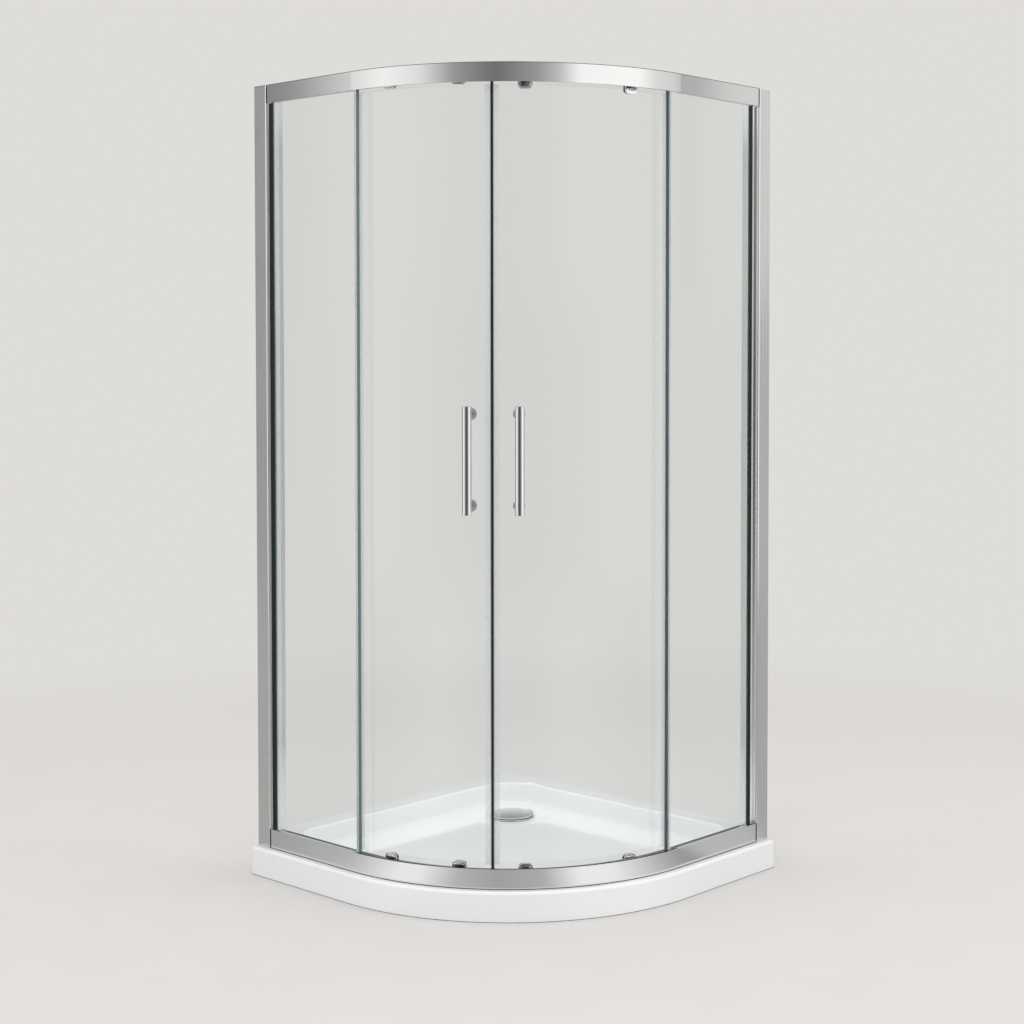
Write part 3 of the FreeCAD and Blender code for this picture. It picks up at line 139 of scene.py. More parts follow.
class Finish:
    """A procedural material, or the world's light, and the nodes that make it."""

    def __init__(self, name, owner=None):
        self.owner = owner or bpy.data.materials.new(name)
        self.owner.use_nodes = True
        self.tree = self.owner.node_tree
        self.tree.nodes.clear()

    def add(self, kind, settings=None, values=None, out=0):
        """One node: its settings, then its sockets' values or links. Returns one output."""
        node = self.tree.nodes.new(kind)
        for name, value in (settings or {}).items():
            if name == "stops":
                ramp = node.color_ramp
                while len(ramp.elements) < len(value):
                    ramp.elements.new(1.0)
                for element, (place, colour) in zip(ramp.elements, value):
                    element.position = place
                    element.color = colour
            else:
                setattr(node, name, value)
        for key, value in (values or {}).items():
            if isinstance(value, Reading):
                self.tree.links.new(value.socket, node.inputs[key])
            else:
                node.inputs[key].default_value = value
        return Reading(self, node.outputs[out]) if node.outputs else node

    def place(self):
        return self.add("ShaderNodeTexCoord", out="Object")

    def axes(self):
        """The x, y and z of a point on the piece."""
        split = self.add("ShaderNodeSeparateXYZ", values={0: self.place()})
        return [Reading(self, output) for output in split.socket.node.outputs]

    def from_axis(self, x, y):
        """Length of the flat line (x, y), such as the distance from an upright axis."""
        line = self.add("ShaderNodeCombineXYZ", values={0: x, 1: y, 2: 0.0})
        return self.add("ShaderNodeVectorMath", {"operation": "LENGTH"}, {0: line}, out="Value")

    def grain(self, scale, detail=3.0, roughness=0.5, stretch=(1.0, 1.0, 1.0)):
        """Noise from 0 to 1 with a grain stretched along the piece's axes."""
        spot = self.add("ShaderNodeMapping", values={"Vector": self.place(), "Scale": stretch})
        return self.add("ShaderNodeTexNoise", values={
            "Vector": spot, "Scale": scale, "Detail": detail, "Roughness": roughness})

    def blend(self, factor, first, second):
        values = {0: factor, 6: first, 7: second}
        return self.add("ShaderNodeMix", {"data_type": "RGBA"}, values, out=2)

    def relief(self, height, strength, distance):
        return self.add("ShaderNodeBump", values={
            "Height": height, "Strength": strength, "Distance": distance})

    def body(self, **values):
        names = {key.replace("_", " "): value for key, value in values.items()}
        return self.add("ShaderNodeBsdfPrincipled", values=names)

    def mix(self, factor, first, second):
        return self.add("ShaderNodeMixShader", values={0: factor, 1: first, 2: second})

    def rays(self, *kinds):
        """1 for a ray of one of these kinds, such as "Is Shadow Ray"."""
        outputs = self.add("ShaderNodeLightPath").socket.node.outputs
        one_of, *rest = [Reading(self, outputs[kind]) for kind in reversed(kinds)]
        for reading in rest:
            one_of = reading.either(one_of)
        return one_of

    def clear_for_light(self, shader, tint):
        """Lets lamp light and bounced light straight through a clear piece."""
        light = self.rays("Is Shadow Ray", "Is Diffuse Ray")
        through = self.add("ShaderNodeBsdfTransparent", values={"Color": tint})
        return self.mix(light, shader, through)

    def done(self, shader):
        self.add("ShaderNodeOutputMaterial", values={"Surface": shader})
        return self.owner


# ---- finishes ------------------------------------------------------------------------
def acrylic_tray():
    """Glossy white acrylic. Its hollow, within BASIN_REACH of the front's centre, is painted paler:
    painted light where less light reaches.
    """
    f = Finish("tray acrylic")
    cloud = f.grain(3.5, 2.0)
    orange_peel = f.grain(55.0, 2.0)
    scuff = f.grain(140.0, 4.0, 0.7).soft_between(0.62, 0.8)
    x, y = f.axes()[:2]
    across, out = (x - ARC.x).either(0.0), (ARC.y - y).either(0.0)
    # Painted light: the basin's inside is painted paler, where less light reaches it.
    painted_light_basin = (across * across + out * out) < BASIN_REACH ** 2
    colour = f.blend(painted_light_basin, f.blend(cloud, (0.80, 0.805, 0.81, 1), (0.835, 0.84, 0.845, 1)),
                     f.blend(cloud, (0.86, 0.862, 0.874, 1), (0.88, 0.882, 0.894, 1)))
    return f.done(f.body(
        Base_Color=colour,
        Roughness=0.09 + cloud * 0.05 + scuff * 0.10,
        Normal=f.relief(orange_peel, 0.05, 0.001)))


def drawn_aluminium(name, stretch, tint=(0.835, 0.833, 0.822, 1), shade=(0.745, 0.743, 0.733, 1),
                    smooth=0.08, lines=1.0):
    """Bright anodised extrusion with the fine lines that the die leaves along it."""
    f = Finish(name)
    drawn = f.grain(1.0, 4.0, 0.65, stretch)
    haze = f.grain(6.0, 2.0)
    nick = f.grain(420.0, 2.0).soft_between(0.74, 0.8)
    return f.done(f.body(
        Base_Color=f.blend(drawn * 0.45 * lines + haze * 0.2, tint, shade),
        Metallic=1.0,
        Roughness=smooth + drawn * 0.07 * lines + haze * 0.03 + nick * 0.1,
        Normal=f.relief(drawn, 0.06 * lines, 0.0002)))


def clear_glass(name, side, edge_mask):
    """Toughened glass: nearly colourless faces, ground edges in the dark green of its depth."""
    f = Finish(name + " " + side)
    mask = edge_mask(f, side)
    haze = f.grain(4.0, 2.0)
    wipe = f.grain(1.0, 3.0, 0.6, (25.0, 25.0, 3.0))
    face = f.blend(haze, (0.897, 0.931, 0.918, 1), (0.907, 0.940, 0.927, 1))
    pane = f.body(
        Base_Color=face,
        Roughness=0.004 + wipe * 0.006,
        IOR=1.5,
        Transmission_Weight=1.0)
    frost = f.grain(900.0, 2.0)
    rim = f.body(
        Base_Color=f.blend(frost, (0.020, 0.060, 0.064, 1), (0.045, 0.095, 0.100, 1)),
        Roughness=0.16 + frost * 0.1,
        IOR=1.5)
    return f.done(f.mix(mask, f.clear_for_light(pane, (0.985, 0.992, 0.988, 1)), rim))


# A pane's dark edge reaches this far in: metres, and radians at a curved pane's ends.
EDGE_DEPTH = 0.0003
EDGE_TURN = 0.0007


def wall_distance(f, side):
    """How far a point stands from its wall, along the straight leg."""
    x, y = f.axes()[:2]
    return x + HALF if side == "left" else HALF - y


def flat_edges(f, side):
    """Ends and rims of a fixed pane."""
    s = wall_distance(f, side)
    z = f.axes()[2]
    ends = (s < PANEL_START + EDGE_DEPTH).either(s > PANEL_END[side] - EDGE_DEPTH)
    return ends.either((z < PANEL_LOW + EDGE_DEPTH).either(z > PANEL_HIGH - EDGE_DEPTH))


def curved_edges(f, side):
    """Ends and rims of a door's pane, the ends by the angle round the front's centre."""
    tail, lead = edge_angles(side)
    x, y, z = f.axes()
    across, out = (x - ARC.x, ARC.y - y) if side == "left" else (ARC.y - y, x - ARC.x)
    turn = across.angle_from(out)
    ends = (turn < math.radians(tail) + EDGE_TURN).either(turn > math.radians(lead) - EDGE_TURN)
    return ends.either((z < DOOR_LOW + EDGE_DEPTH).either(z > DOOR_HIGH - EDGE_DEPTH))


def clear_seal(name, cloudiness=0.07, jamb=None):
    """Clear flexible strip, painted paler and more opaque where seen edge-on: a painted sheen on
    its rims. A jamb's has a dark lip along it.
    """
    f = Finish(name)
    milk = f.grain(1.0, 3.0, 0.5, (160.0, 160.0, 5.0))
    # Painted sheen: the strip turns pale and opaque where it is seen edge-on.
    painted_rim_sheen = f.add("ShaderNodeLayerWeight", values={"Blend": 0.5}, out="Facing")
    strip = f.body(
        Base_Color=f.blend(milk, (0.60, 0.66, 0.68, 1), (0.72, 0.77, 0.79, 1)),
        Roughness=0.08 + milk * 0.10,
        Alpha=cloudiness + milk * 0.05 + painted_rim_sheen.soft_between(0.62, 0.95) * 0.45)
    if jamb is None:
        return f.done(strip)
    near, far = JAMB_SEAL_LIPS[jamb]
    s = wall_distance(f, jamb)
    inside = (s > near) * (s < far)
    lip = f.body(
        Base_Color=f.blend(milk, (0.003, 0.011, 0.010, 1), (0.008, 0.020, 0.018, 1)),
        Roughness=0.36 + milk * 0.1,
        Specular_IOR_Level=0.2)
    return f.done(f.mix(inside, strip, lip))


def bright_chrome():
    f = Finish("bright chrome")
    smudge = f.grain(38.0, 4.0, 0.6)
    spot = f.grain(260.0, 2.0).soft_between(0.70, 0.78)
    return f.done(f.body(
        Base_Color=f.blend(smudge, (0.86, 0.87, 0.88, 1), (0.80, 0.81, 0.82, 1)),
        Metallic=1.0,
        Roughness=0.02 + smudge * 0.04 + spot * 0.08))


def satin_chrome():
    """The brushed chrome of the waste cover: circles round its middle."""
    f = Finish("satin chrome")
    x, y = f.axes()[:2]
    rings = f.add("ShaderNodeTexNoise", {"noise_dimensions": "1D"}, {
        "W": f.from_axis(x - WASTE.x, y - WASTE.y) * 1400.0, "Scale": 1.0, "Detail": 3.0})
    haze = f.grain(30.0, 3.0)
    return f.done(f.body(
        Base_Color=f.blend(rings * 0.6 + haze * 0.3, (0.90, 0.92, 0.925, 1), (0.78, 0.80, 0.81, 1)),
        Metallic=1.0,
        Roughness=0.14 + rings * 0.12 + haze * 0.05,
        Normal=f.relief(rings, 0.12, 0.0002)))


def machined_steel():
    f = Finish("machined steel")
    turned = f.grain(1.0, 3.0, 0.6, (90.0, 90.0, 700.0))
    haze = f.grain(60.0, 2.0)
    return f.done(f.body(
        Base_Color=f.blend(turned, (0.50, 0.51, 0.52, 1), (0.66, 0.67, 0.68, 1)),
        Metallic=1.0,
        Roughness=0.22 + turned * 0.12 + haze * 0.06,
        Normal=f.relief(turned, 0.15, 0.0002)))


def moulded(name, first, second, roughness, grain_size, depth, spread=0.1):
    """Moulded plastic or rubber with a fine mould grain."""
    f = Finish(name)
    cloud = f.grain(18.0, 3.0)
    texture = f.grain(grain_size, 3.0, 0.6)
    return f.done(f.body(
        Base_Color=f.blend(cloud * 0.7 + texture * 0.3, first, second),
        Roughness=roughness + texture * spread,
        Normal=f.relief(texture, depth, 0.0003)))


TRAY = acrylic_tray()
LEVEL = drawn_aluminium("rail aluminium", (5.0, 5.0, 1300.0))
UPRIGHT = drawn_aluminium("jamb aluminium", (1300.0, 1300.0, 4.0), smooth=0.15)
CHANNEL = drawn_aluminium("channel aluminium", (900.0, 900.0, 5.0), (0.72, 0.725, 0.73, 1),
                          (0.60, 0.605, 0.61, 1), smooth=0.34, lines=1.3)
SEAL = clear_seal("clear seal")
CARRIER = clear_seal("magnet carrier", cloudiness=0.11)
GASKET = clear_seal("glazing gasket", cloudiness=0.45)
BED = moulded("bedding sealant", (0.72, 0.73, 0.72, 1), (0.80, 0.81, 0.80, 1), 0.35, 300.0, 0.2)
BLACK = moulded("black magnet strip", (0.004, 0.005, 0.006, 1), (0.010, 0.012, 0.013, 1),
                0.45, 700.0, 0.2)
CHROME = bright_chrome()
COVER = satin_chrome()
STEEL = machined_steel()
RUBBER = moulded("black rubber", (0.018, 0.018, 0.019, 1), (0.045, 0.045, 0.047, 1),
                 0.55, 500.0, 0.5, 0.2)
GREY = moulded("grey plastic", (0.42, 0.43, 0.43, 1), (0.52, 0.53, 0.53, 1), 0.38, 650.0, 0.3, 0.15)
# Painted shadow: a near-black finish for strips put in joints and gaps where only shade falls.
PAINTED_SHADOW = moulded("painted shadow strip", (0.010, 0.011, 0.012, 1), (0.024, 0.025, 0.027, 1),
                     0.60, 500.0, 0.3)
INLAY = drawn_aluminium("smoked inlay", (300.0, 300.0, 900.0), (0.34, 0.35, 0.35, 1),
                        (0.24, 0.25, 0.25, 1), 0.10)
# Painted light and shade: one seal lip in two brightnesses, the right one painted darker than the
# left.
PANE_LIPS = {
    "left": moulded("lit teal seal lip", (0.085, 0.135, 0.150, 1), (0.130, 0.185, 0.200, 1),
                    0.30, 500.0, 0.2),
    "right": moulded("shaded teal seal lip", (0.035, 0.062, 0.070, 1), (0.060, 0.095, 0.105, 1),
                     0.30, 500.0, 0.2)}
NYLON = moulded("white nylon", (0.74, 0.735, 0.71, 1), (0.82, 0.815, 0.79, 1), 0.28, 420.0, 0.2)


def dress(finish, *names):
    for name in names:
        for place in NODES[name].material_slots:
            place.material = finish


def pair(*names):
    return [name + "_" + side for name in names for side in SIDES]


dress(TRAY, "shower_tray")
dress(LEVEL, "top_rail", "bottom_rail")
dress(UPRIGHT, *pair("jamb"))
dress(CHANNEL, *pair("wall_channel"))
for side in SIDES:
    dress(clear_glass("fixed pane", side, flat_edges), "fixed_glass_" + side)
    dress(clear_glass("door pane", side, curved_edges), "door_glass_" + side)
    dress(clear_seal("jamb seal " + side, 0.02, side), "jamb_seal_" + side)
dress(SEAL, *pair("edge_seal", "rear_seal"))
dress(CARRIER, *pair("magnet_carrier"))
dress(GASKET, "lower_glazing_gaskets", "upper_glazing_gaskets")
dress(BED, "bed_seal")
dress(BLACK, *pair("magnet_strip"))
dress(CHROME, *pair("glass_clamps", "roller_hangers", "handle_bar", "handle_posts", "jamb_cap"),
      "waste_flange")
dress(COVER, "waste_cover")
dress(STEEL, "jamb_screws", "connector_screws",
      *pair("roller_axles", "clamp_screws", "handle_roses", "handle_caps"))
dress(RUBBER, "waste_gaskets", "track_buffers")
dress(GREY, "waste_body", "waste_dip_tube", "top_connectors", "bottom_connectors")
dress(NYLON, *pair("top_lead_wheel", "top_tail_wheel", "bottom_lead_wheel", "bottom_tail_wheel"))


# ---- making small pieces -------------------------------------------------------------
TINY = 1e-6
SHARP = math.radians(35)
CORNER_STEPS = 6
RIM_STEPS = 2
RIM_SHARE = 0.45
FRONT_STEPS = 60
RING_STEPS = 72

# Mirrors the left half onto the right one, over the line from the wall corner to the front.
TO_RIGHT = Matrix(((0, -1, 0, 0), (-1, 0, 0, 0), (0, 0, 1, 0), (0, 0, 0, 1)))


def only(kind, geometry):
    return [item for item in geometry if isinstance(item, kind)]


def add_object(name, mesh, material):
    data = bpy.data.meshes.new(name)
    mesh.to_mesh(data)
    mesh.free()
    data.materials.append(material)
    data.shade_smooth()
    piece = bpy.data.objects.new(name, data)
    bpy.context.scene.collection.objects.link(piece)
    return piece


def finish_piece(name, mesh, body, material, side="left", angle=0.0):
    """Turns a piece drawn on the left leg to its place and lets it ride on a body."""
    turn = Matrix.Rotation(math.radians(angle), 3, "Z")
    bmesh.ops.rotate(mesh, verts=mesh.verts, cent=ARC, matrix=turn)
    if side == "right":
        bmesh.ops.transform(mesh, matrix=TO_RIGHT, verts=mesh.verts)
    bmesh.ops.recalc_face_normals(mesh, faces=mesh.faces)
    piece = add_object(name, mesh, material)
    piece.data.set_sharp_from_angle(angle=SHARP)
    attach(piece, body)


def closed_ring(mesh, corners):
    verts = [mesh.verts.new(corner) for corner in corners]
    return verts, [mesh.edges.new((verts[i - 1], verts[i])) for i in range(len(verts))]


def rectangle(near, far, outer, inner):
    """Corners of an upright bar's section: (distance from the wall, inset)."""
    return [(near, outer), (far, outer), (far, inner), (near, inner)]


def raise_face(mesh, corners, way):
    """A face on these corners, and the solid that it sweeps out on its way."""
    face = mesh.faces.new([mesh.verts.new(corner) for corner in corners])
    lifted = bmesh.ops.extrude_face_region(mesh, geom=[face])["geom"]
    bmesh.ops.translate(mesh, vec=way, verts=only(bmesh.types.BMVert, lifted))


def rounded_plate(width, low, high, corner, inset, thick, level):
    """Upright plate at the left leg's end, its corners rounded on the side away from the rail."""
    mesh = bmesh.new()
    y = inset - HALF
    raise_face(mesh, [(ARC.x - width / 2, y, low), (ARC.x + width / 2, y, low),
                      (ARC.x + width / 2, y, high), (ARC.x - width / 2, y, high)], (0, thick, 0))
    free_end = low if level == "top" else high
    corners = [e for e in mesh.edges if all(abs(v.co.z - free_end) < TINY for v in e.verts)
               and abs(e.verts[0].co.y - e.verts[1].co.y) > thick / 2]
    bmesh.ops.bevel(mesh, geom=corners, offset=corner, segments=CORNER_STEPS, profile=0.5,
                    affect="EDGES", material=-1)
    rim = [e for e in mesh.edges if all(abs(v.co.y - y) < TINY for v in e.verts)]
    bmesh.ops.bevel(mesh, geom=rim, offset=thick * RIM_SHARE, segments=RIM_STEPS, profile=0.5,
                    affect="EDGES", material=-1)
    return mesh


def onward(mesh, ring, way):
    """Carries a ring of edges on by this much and returns the new ring."""
    fresh = bmesh.ops.extrude_edge_only(mesh, edges=ring)["geom"]
    verts = only(bmesh.types.BMVert, fresh)
    bmesh.ops.translate(mesh, vec=way, verts=verts)
    return [e for e in only(bmesh.types.BMEdge, fresh) if all(v in verts for v in e.verts)]


def front_strip(name, inset, depth, low, high, start):
    """Thin dark strip of painted shadow that follows the whole front from one wall to the other."""
    mesh = bmesh.new()
    outer, inner = inset - HALF, inset - HALF + depth
    edges = closed_ring(mesh, [(start - HALF, y, z) for y, z in (
        (outer, low), (inner, low), (inner, high), (outer, high))])[1]
    edges = onward(mesh, edges, (LEG - start, 0, 0))
    bend = bmesh.ops.spin(mesh, geom=edges, cent=ARC, axis=(0, 0, 1), angle=math.pi / 2,
                          steps=FRONT_STEPS)
    onward(mesh, only(bmesh.types.BMEdge, bend["geom_last"]), (0, LEG - start, 0))
    bmesh.ops.holes_fill(mesh, edges=mesh.edges[:], sides=4)
    finish_piece(name, mesh, "frame", PAINTED_SHADOW)


def upright_bead(name, section, low, high, side, material, body="frame", angle=0.0):
    """Upright thin bar with a section of (distance from the wall, inset) corners."""
    mesh = bmesh.new()
    raise_face(mesh, [(s - HALF, inset - HALF, low) for s, inset in section], (0, 0, high - low))
    finish_piece(name, mesh, body, material, side, angle)


def cover_ring(name, section, material):
    """Ring round the waste cover from (radius, height below the cover's top) corners."""
    top = max(v.co.z for v in NODES["waste_cover"].data.vertices)
    mesh = bmesh.new()
    verts, edges = closed_ring(mesh, [(WASTE.x + radius, WASTE.y, top - drop)
                                      for radius, drop in section])
    bmesh.ops.spin(mesh, geom=verts + edges, cent=WASTE, axis=(0, 0, 1), angle=2 * math.pi,
                   steps=RING_STEPS, use_merge=True)
    finish_piece(name, mesh, "waste_cover", material)


# ---- clamps' faces -------------------------------------------------------------------
# How much of a door's clamps shows below the top rail and above the bottom rail.
CLAMP_SHOWS = {"left": (0.0020, 0.0095), "right": (0.0130, 0.0060)}
CAP_SIZE = {"width": 0.0270, "corner": 0.0070, "inset": 0.0422, "thick": 0.00082}
CAP_SHORT = {"top": 0.0042, "bottom": 0.0036}
CAP_FROM_GLASS_END = 0.002
INLAY_SIZE = {"width": 0.0206, "corner": 0.0045, "inset": 0.0420, "thick": 0.0004}
INLAY_MARGIN = 0.0028

for side in SIDES:
    drop, rise = CLAMP_SHOWS[side]
    spans = {"top": (TOP_EDGE - drop + CAP_SHORT["top"], DOOR_HIGH - CAP_FROM_GLASS_END),
             "bottom": (DOOR_LOW + CAP_FROM_GLASS_END, BOTTOM_EDGE + rise - CAP_SHORT["bottom"])}
    for place, angle in zip(("lead", "tail"), roller_angles(side)):
        for level, (low, high) in spans.items():
            which = "%s_%s_%s" % (level, place, side)
            cap = rounded_plate(low=low, high=high, level=level, **CAP_SIZE)
            finish_piece("clamp_cap_" + which, cap, "door_" + side, CHROME, side, angle)
            foot = low + INLAY_MARGIN if level == "top" else low
            head = high if level == "top" else high - INLAY_MARGIN
            inlay = rounded_plate(low=foot, high=head, level=level, **INLAY_SIZE)
            finish_piece("clamp_inlay_" + which, inlay, "door_" + side, INLAY, side, angle)

# ---- waste cover's rings -------------------------------------------------------------
cover_ring("waste_cover_rim", [(0.0536, -0.00004), (0.0546, 0.0003), (0.05506, 0.0010),
                               (0.0536, 0.0010)], CHROME)
# Painted shadow: a dark ring under the cover's edge.
cover_ring("waste_cover_painted_shadow", [(0.0490, 0.0027), (0.0545, 0.0027), (0.0545, 0.0034),
                               (0.0490, 0.0034)], PAINTED_SHADOW)

# ---- painted shadow strips, beads and lips -------------------------------------------
# The painted shadow strip in the joint at the frame's foot ends at FOOT_JOINT, and the one at
# its top starts at TOP_JOINT. They and the painted shadow strips at the rails' ends stand proud of
# the frame's face.
FOOT_JOINT, TOP_JOINT = 0.0696, 1.8944
PROUD, TOP_PROUD = 0.0003, 0.0002
# Painted shadow: dark strips in the gaps between the rails' ends and the jambs.
RAIL_END_SHADOW = rectangle(JAMB_WIDTH - 0.0001, JAMB_WIDTH + 0.0008,
                         FRAME_FACE - PROUD, FRAME_FACE + 0.0005)
RAIL_END_LEVELS = {"bottom": (FOOT_JOINT, BOTTOM_EDGE), "top": (TOP_EDGE, TOP_JOINT)}
JAMB_BEAD = [(0.0438, 0.0193), (0.0459, 0.0200), (0.0438, 0.0202)]
JAMB_BEAD_LOW, JAMB_BEAD_HIGH = 0.0690, 1.8945

# The tips of the doors' magnets that show in the rails, and the lips beside the fixed panes'
# free edges.
MAGNET_TIP = rectangle(LEG - 0.0012, LEG + 0.0012, 0.0472, 0.0528)
MAGNET_TIP_LEVELS = {"bottom": (0.1060, 0.1166), "top": (1.8496, 1.8640)}
PANE_LIP_START, PANE_LIP_END = 0.0011, 0.0048
PANE_LIP_OUTER, PANE_LIP_INNER = 0.0245, 0.0290
PANE_LIP_LOW, PANE_LIP_HIGH = 0.1150, 1.8512

# Painted shadow: dark strips under the tray's rounded foot and along the frame's foot and top
# joints.
front_strip("tray_foot_painted_shadow", inset=0.0003, depth=0.0008, low=0.0001, high=0.0014, start=0.001)
front_strip("frame_foot_painted_shadow", inset=FRAME_FACE - PROUD, depth=0.0008, low=0.0682,
            high=FOOT_JOINT, start=JAMB_WIDTH)
front_strip("frame_top_painted_shadow", inset=FRAME_FACE - TOP_PROUD, depth=0.0006, low=TOP_JOINT,
            high=1.8954, start=JAMB_WIDTH)

for side in SIDES:
    for level, (low, high) in RAIL_END_LEVELS.items():
        upright_bead("rail_end_gap_%s_%s" % (level, side), RAIL_END_SHADOW, low, high, side,
                     PAINTED_SHADOW)
    upright_bead("jamb_edge_bead_" + side, JAMB_BEAD, JAMB_BEAD_LOW, JAMB_BEAD_HIGH, side,
                 CHROME)

    lead = edge_angles(side)[1]
    magnet = lead + (SEAL_WALL + MAGNET_WIDTH / 2) * DEGREES_PER_METRE
    for level, (low, high) in MAGNET_TIP_LEVELS.items():
        upright_bead("magnet_tip_%s_%s" % (level, side), MAGNET_TIP, low, high, side,
                     BLACK, "door_" + side, magnet)

    end = PANEL_END[side]
    lip = rectangle(end + PANE_LIP_START, end + PANE_LIP_END, PANE_LIP_OUTER, PANE_LIP_INNER)
    upright_bead("pane_edge_lip_" + side, lip, PANE_LIP_LOW, PANE_LIP_HIGH, side,
                 PANE_LIPS[side])


# ---- studio --------------------------------------------------------------------------
PALE = (0.738, 0.722, 0.706, 1.0)
CARD_RADIUS, CARD_HEIGHT = 4.0, 4.2
CARD_SEGMENTS = 180
FLOOR_CARD_RADIUS, FLOOR_CARD_LIFT = 3.99, 0.0015
FLOOR_RADIUS, FLOOR_SEGMENTS = 30.0, 96
FLOOR_FADES = (1.3, 3.6)
CARDS_LOW_FADES = (0.0, 0.5)
CARDS_HIGH_FADES = (1.25, 1.75)

# What the glass and the metal reflect: (direction round the front's centre in degrees,
# brightness) above about 1.5 m, below it, and down at the floor.
HIGH_CARDS = [(-180, 0.60), (-60, 0.60), (-50, 0.28), (-47, 0.19), (-45.6, 0.40), (-43, 0.86),
              (-22, 1.08), (-2, 0.90), (16, 0.36), (36, 0.18), (56, 0.38), (66, 0.62), (76, 1.12),
              (108, 1.15), (118, 0.85), (132, 0.78), (135, 0.50), (136.3, 0.18), (137.8, 0.80),
              (180, 0.75)]
EYE_CARDS = [(-180, 0.08), (-95, 0.08), (-60, 0.24), (-49.5, 0.29), (-47, 0.34), (-43, 0.75),
             (-32, 1.10), (-8, 0.85), (14, 0.26), (34, 0.07), (48, 0.07), (64, 0.28), (84, 0.72),
             (96, 1.15), (112, 1.15), (127, 0.85), (136, 0.57), (144, 0.52), (151, 0.12),
             (160, 0.06), (180, 0.08)]
FLOOR_CARDS = [(-180, 0.60), (-37, 0.42), (-20, 0.55), (3, 1.00), (11, 0.98), (24, 0.55),
               (38, 0.43), (54, 0.50), (67, 1.02), (79, 1.00), (97, 0.60), (111, 0.36),
               (116, 0.58), (127, 0.55), (131, 0.42), (180, 0.60)]
LID_CARDS = [(-180, 0.42), (40, 0.48), (180, 0.42)]


def light_level(f, turn, cards):
    """Brightness of the cards in one direction, from a turn in radians."""
    stops = [((angle + 180) / 360, (level, level, level, 1)) for angle, level in cards]
    return f.add("ShaderNodeValToRGB", {"stops": stops}, {0: turn / (2 * math.pi) + 0.5})


def card_finish(name, cards, eye_cards=None):
    """Glowing cards round the enclosure. With eye_cards, they change towards the floor."""
    f = Finish(name)
    x, y, z = f.axes()
    turn = (x - ARC.x).angle_from(ARC.y - y)
    glow = light_level(f, turn, cards)
    if eye_cards:
        glow = f.blend(z.soft_between(*CARDS_HIGH_FADES), light_level(f, turn, eye_cards), glow)
        glow = f.blend(z.soft_between(*CARDS_LOW_FADES), light_level(f, turn, FLOOR_CARDS), glow)
    return f.done(f.add("ShaderNodeEmission", values={"Color": glow, "Strength": 1.0}))


def floor_finish():
    """Pale floor that takes the shadow near the tray and runs into the backdrop further off."""
    f = Finish("pale floor")
    x, y = f.axes()[:2]
    far = f.from_axis(x, y).soft_between(*FLOOR_FADES)
    dust = f.grain(7.0, 3.0)
    near = f.add("ShaderNodeBsdfDiffuse", values={
        "Color": f.blend(dust, (0.608, 0.594, 0.586, 1), (0.630, 0.615, 0.607, 1))})
    glow = f.add("ShaderNodeEmission", values={"Color": PALE, "Strength": 1.0})
    return f.done(f.mix(far, near, glow))


def studio_piece(name, mesh, material):
    piece = add_object(name, mesh, material)
    return piece


def only_in_reflections(card):
    card.visible_camera = False
    card.visible_diffuse = False
    card.visible_transmission = False
    card.visible_volume_scatter = False
    card.visible_shadow = False


def flat_card(name, radius, height, material):
    """Level disc over the front's centre."""
    mesh = bmesh.new()
    bmesh.ops.create_circle(mesh, segments=CARD_SEGMENTS, radius=radius, cap_ends=True)
    bmesh.ops.translate(mesh, vec=ARC + Vector((0, 0, height)), verts=mesh.verts)
    only_in_reflections(studio_piece(name, mesh, material))


drum = bmesh.new()
bmesh.ops.create_circle(drum, segments=CARD_SEGMENTS, radius=CARD_RADIUS)
onward(drum, drum.edges[:], (0, 0, CARD_HEIGHT))
bmesh.ops.translate(drum, vec=ARC, verts=drum.verts)
only_in_reflections(studio_piece(
    "studio_cards", drum, card_finish("studio cards", HIGH_CARDS, EYE_CARDS)))
flat_card("studio_lid", CARD_RADIUS, CARD_HEIGHT, card_finish("studio lid", LID_CARDS))
flat_card("studio_floor_cards", FLOOR_CARD_RADIUS, FLOOR_CARD_LIFT,
          card_finish("studio floor cards", FLOOR_CARDS))

floor = bmesh.new()
bmesh.ops.create_circle(floor, segments=FLOOR_SEGMENTS, radius=FLOOR_RADIUS, cap_ends=True)
studio_piece("floor", floor, floor_finish())


def studio_world():
    """Soft light on the object, and the plain backdrop wherever the world itself is seen."""
    f = Finish("studio", bpy.data.worlds.new("studio"))
    seen = f.rays("Is Camera Ray", "Is Glossy Ray", "Is Transmission Ray")
    soft = f.add("ShaderNodeBackground", values={"Color": (1.0, 0.995, 0.99, 1), "Strength": 0.88})
    shown = f.add("ShaderNodeBackground", values={"Color": PALE, "Strength": 1.0})
    f.add("ShaderNodeOutputWorld", values={"Surface": f.mix(seen, soft, shown)})
    return f.owner


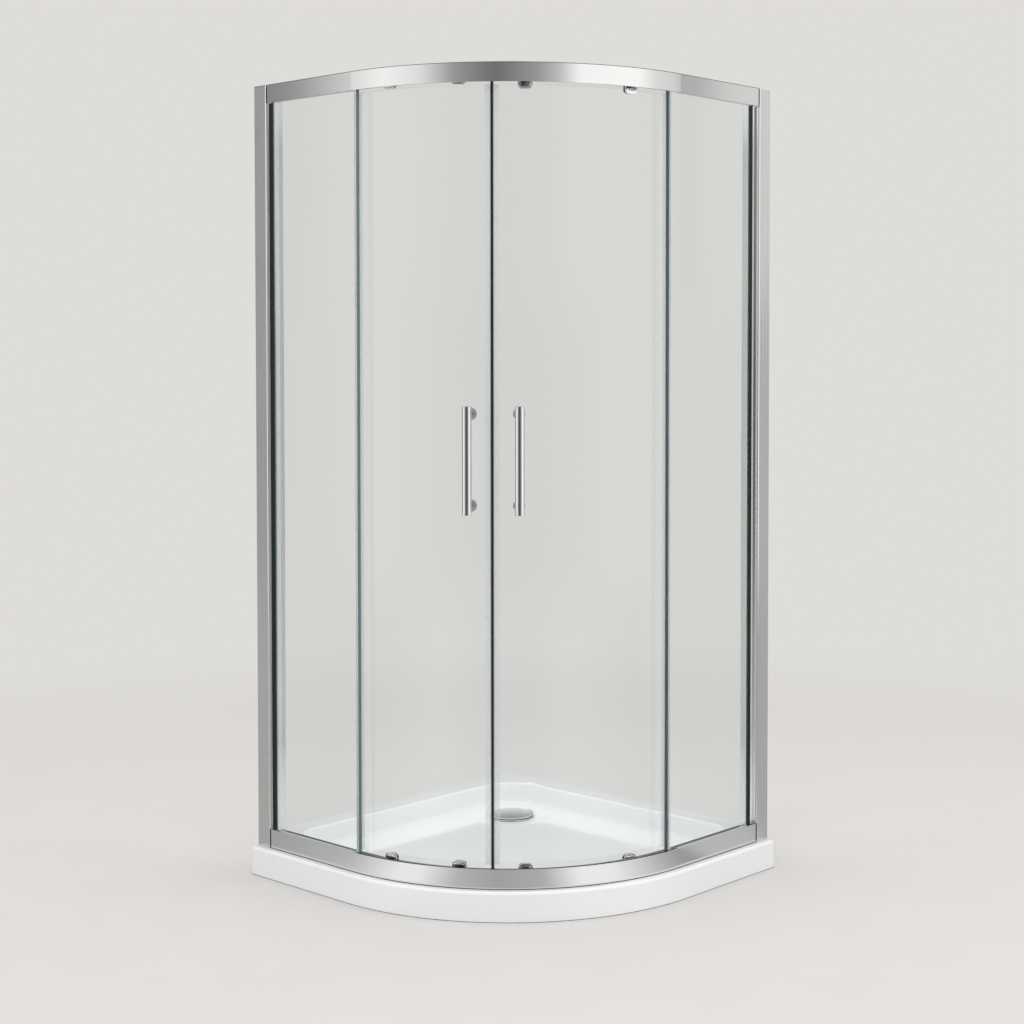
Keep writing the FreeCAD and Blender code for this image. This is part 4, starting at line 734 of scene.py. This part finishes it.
def soft_lamp(name, place, target, width, power):
    """Square lamp that lights the object but isn't seen in it."""
    lamp = bpy.data.lights.new(name, "AREA")
    lamp.shape = "SQUARE"
    lamp.size = width
    lamp.energy = power
    lamp.color = (1.0, 0.995, 0.988)
    holder = bpy.data.objects.new(name, lamp)
    holder.location = place
    towards = Vector(target) - Vector(place)
    holder.rotation_euler = towards.to_track_quat("-Z", "Y").to_euler()
    holder.visible_camera = False
    holder.visible_glossy = False
    holder.visible_transmission = False
    bpy.context.scene.collection.objects.link(holder)


bpy.context.scene.world = studio_world()
soft_lamp("lamp_above", place=(0.2, -0.2, 4.6), target=(0.0, 0.0, 0.6), width=3.0, power=60.0)
soft_lamp("lamp_front", place=(3.2, -3.8, 3.0), target=(0.0, 0.0, 0.7), width=2.6, power=40.0)
soft_lamp("lamp_left", place=(-2.6, -3.6, 2.4), target=(0.0, 0.0, 0.8), width=2.2, power=17.0)
soft_lamp("lamp_right", place=(3.9, 1.9, 2.4), target=(0.0, 0.0, 0.6), width=2.2, power=31.0)

# ---- camera --------------------------------------------------------------------------
CAMERA_X, CAMERA_Y, CAMERA_Z = 3.00245, -3.14654, 1.25198
HEADING_X, HEADING_Y = -0.6747, 0.7381
TILT_DOWN = 0.03603

lens = bpy.data.cameras.new("camera")
lens.sensor_width = 36.0
lens.lens = 63.35
lens.shift_x = -0.03995
lens.shift_y = -0.08867
lens.clip_end = 100.0
camera = bpy.data.objects.new("camera", lens)
bpy.context.scene.collection.objects.link(camera)
flat_share = math.cos(TILT_DOWN) / math.hypot(HEADING_X, HEADING_Y)
ahead = Vector((HEADING_X * flat_share, HEADING_Y * flat_share, -math.sin(TILT_DOWN)))
across = ahead.cross(Vector((0, 0, 1))).normalized()
upward = across.cross(ahead)
camera.matrix_world = Matrix((
    (across.x, upward.x, -ahead.x, CAMERA_X),
    (across.y, upward.y, -ahead.y, CAMERA_Y),
    (across.z, upward.z, -ahead.z, CAMERA_Z),
    (0, 0, 0, 1)))
bpy.context.scene.camera = camera
bpy.context.scene.view_settings.view_transform = "Standard"
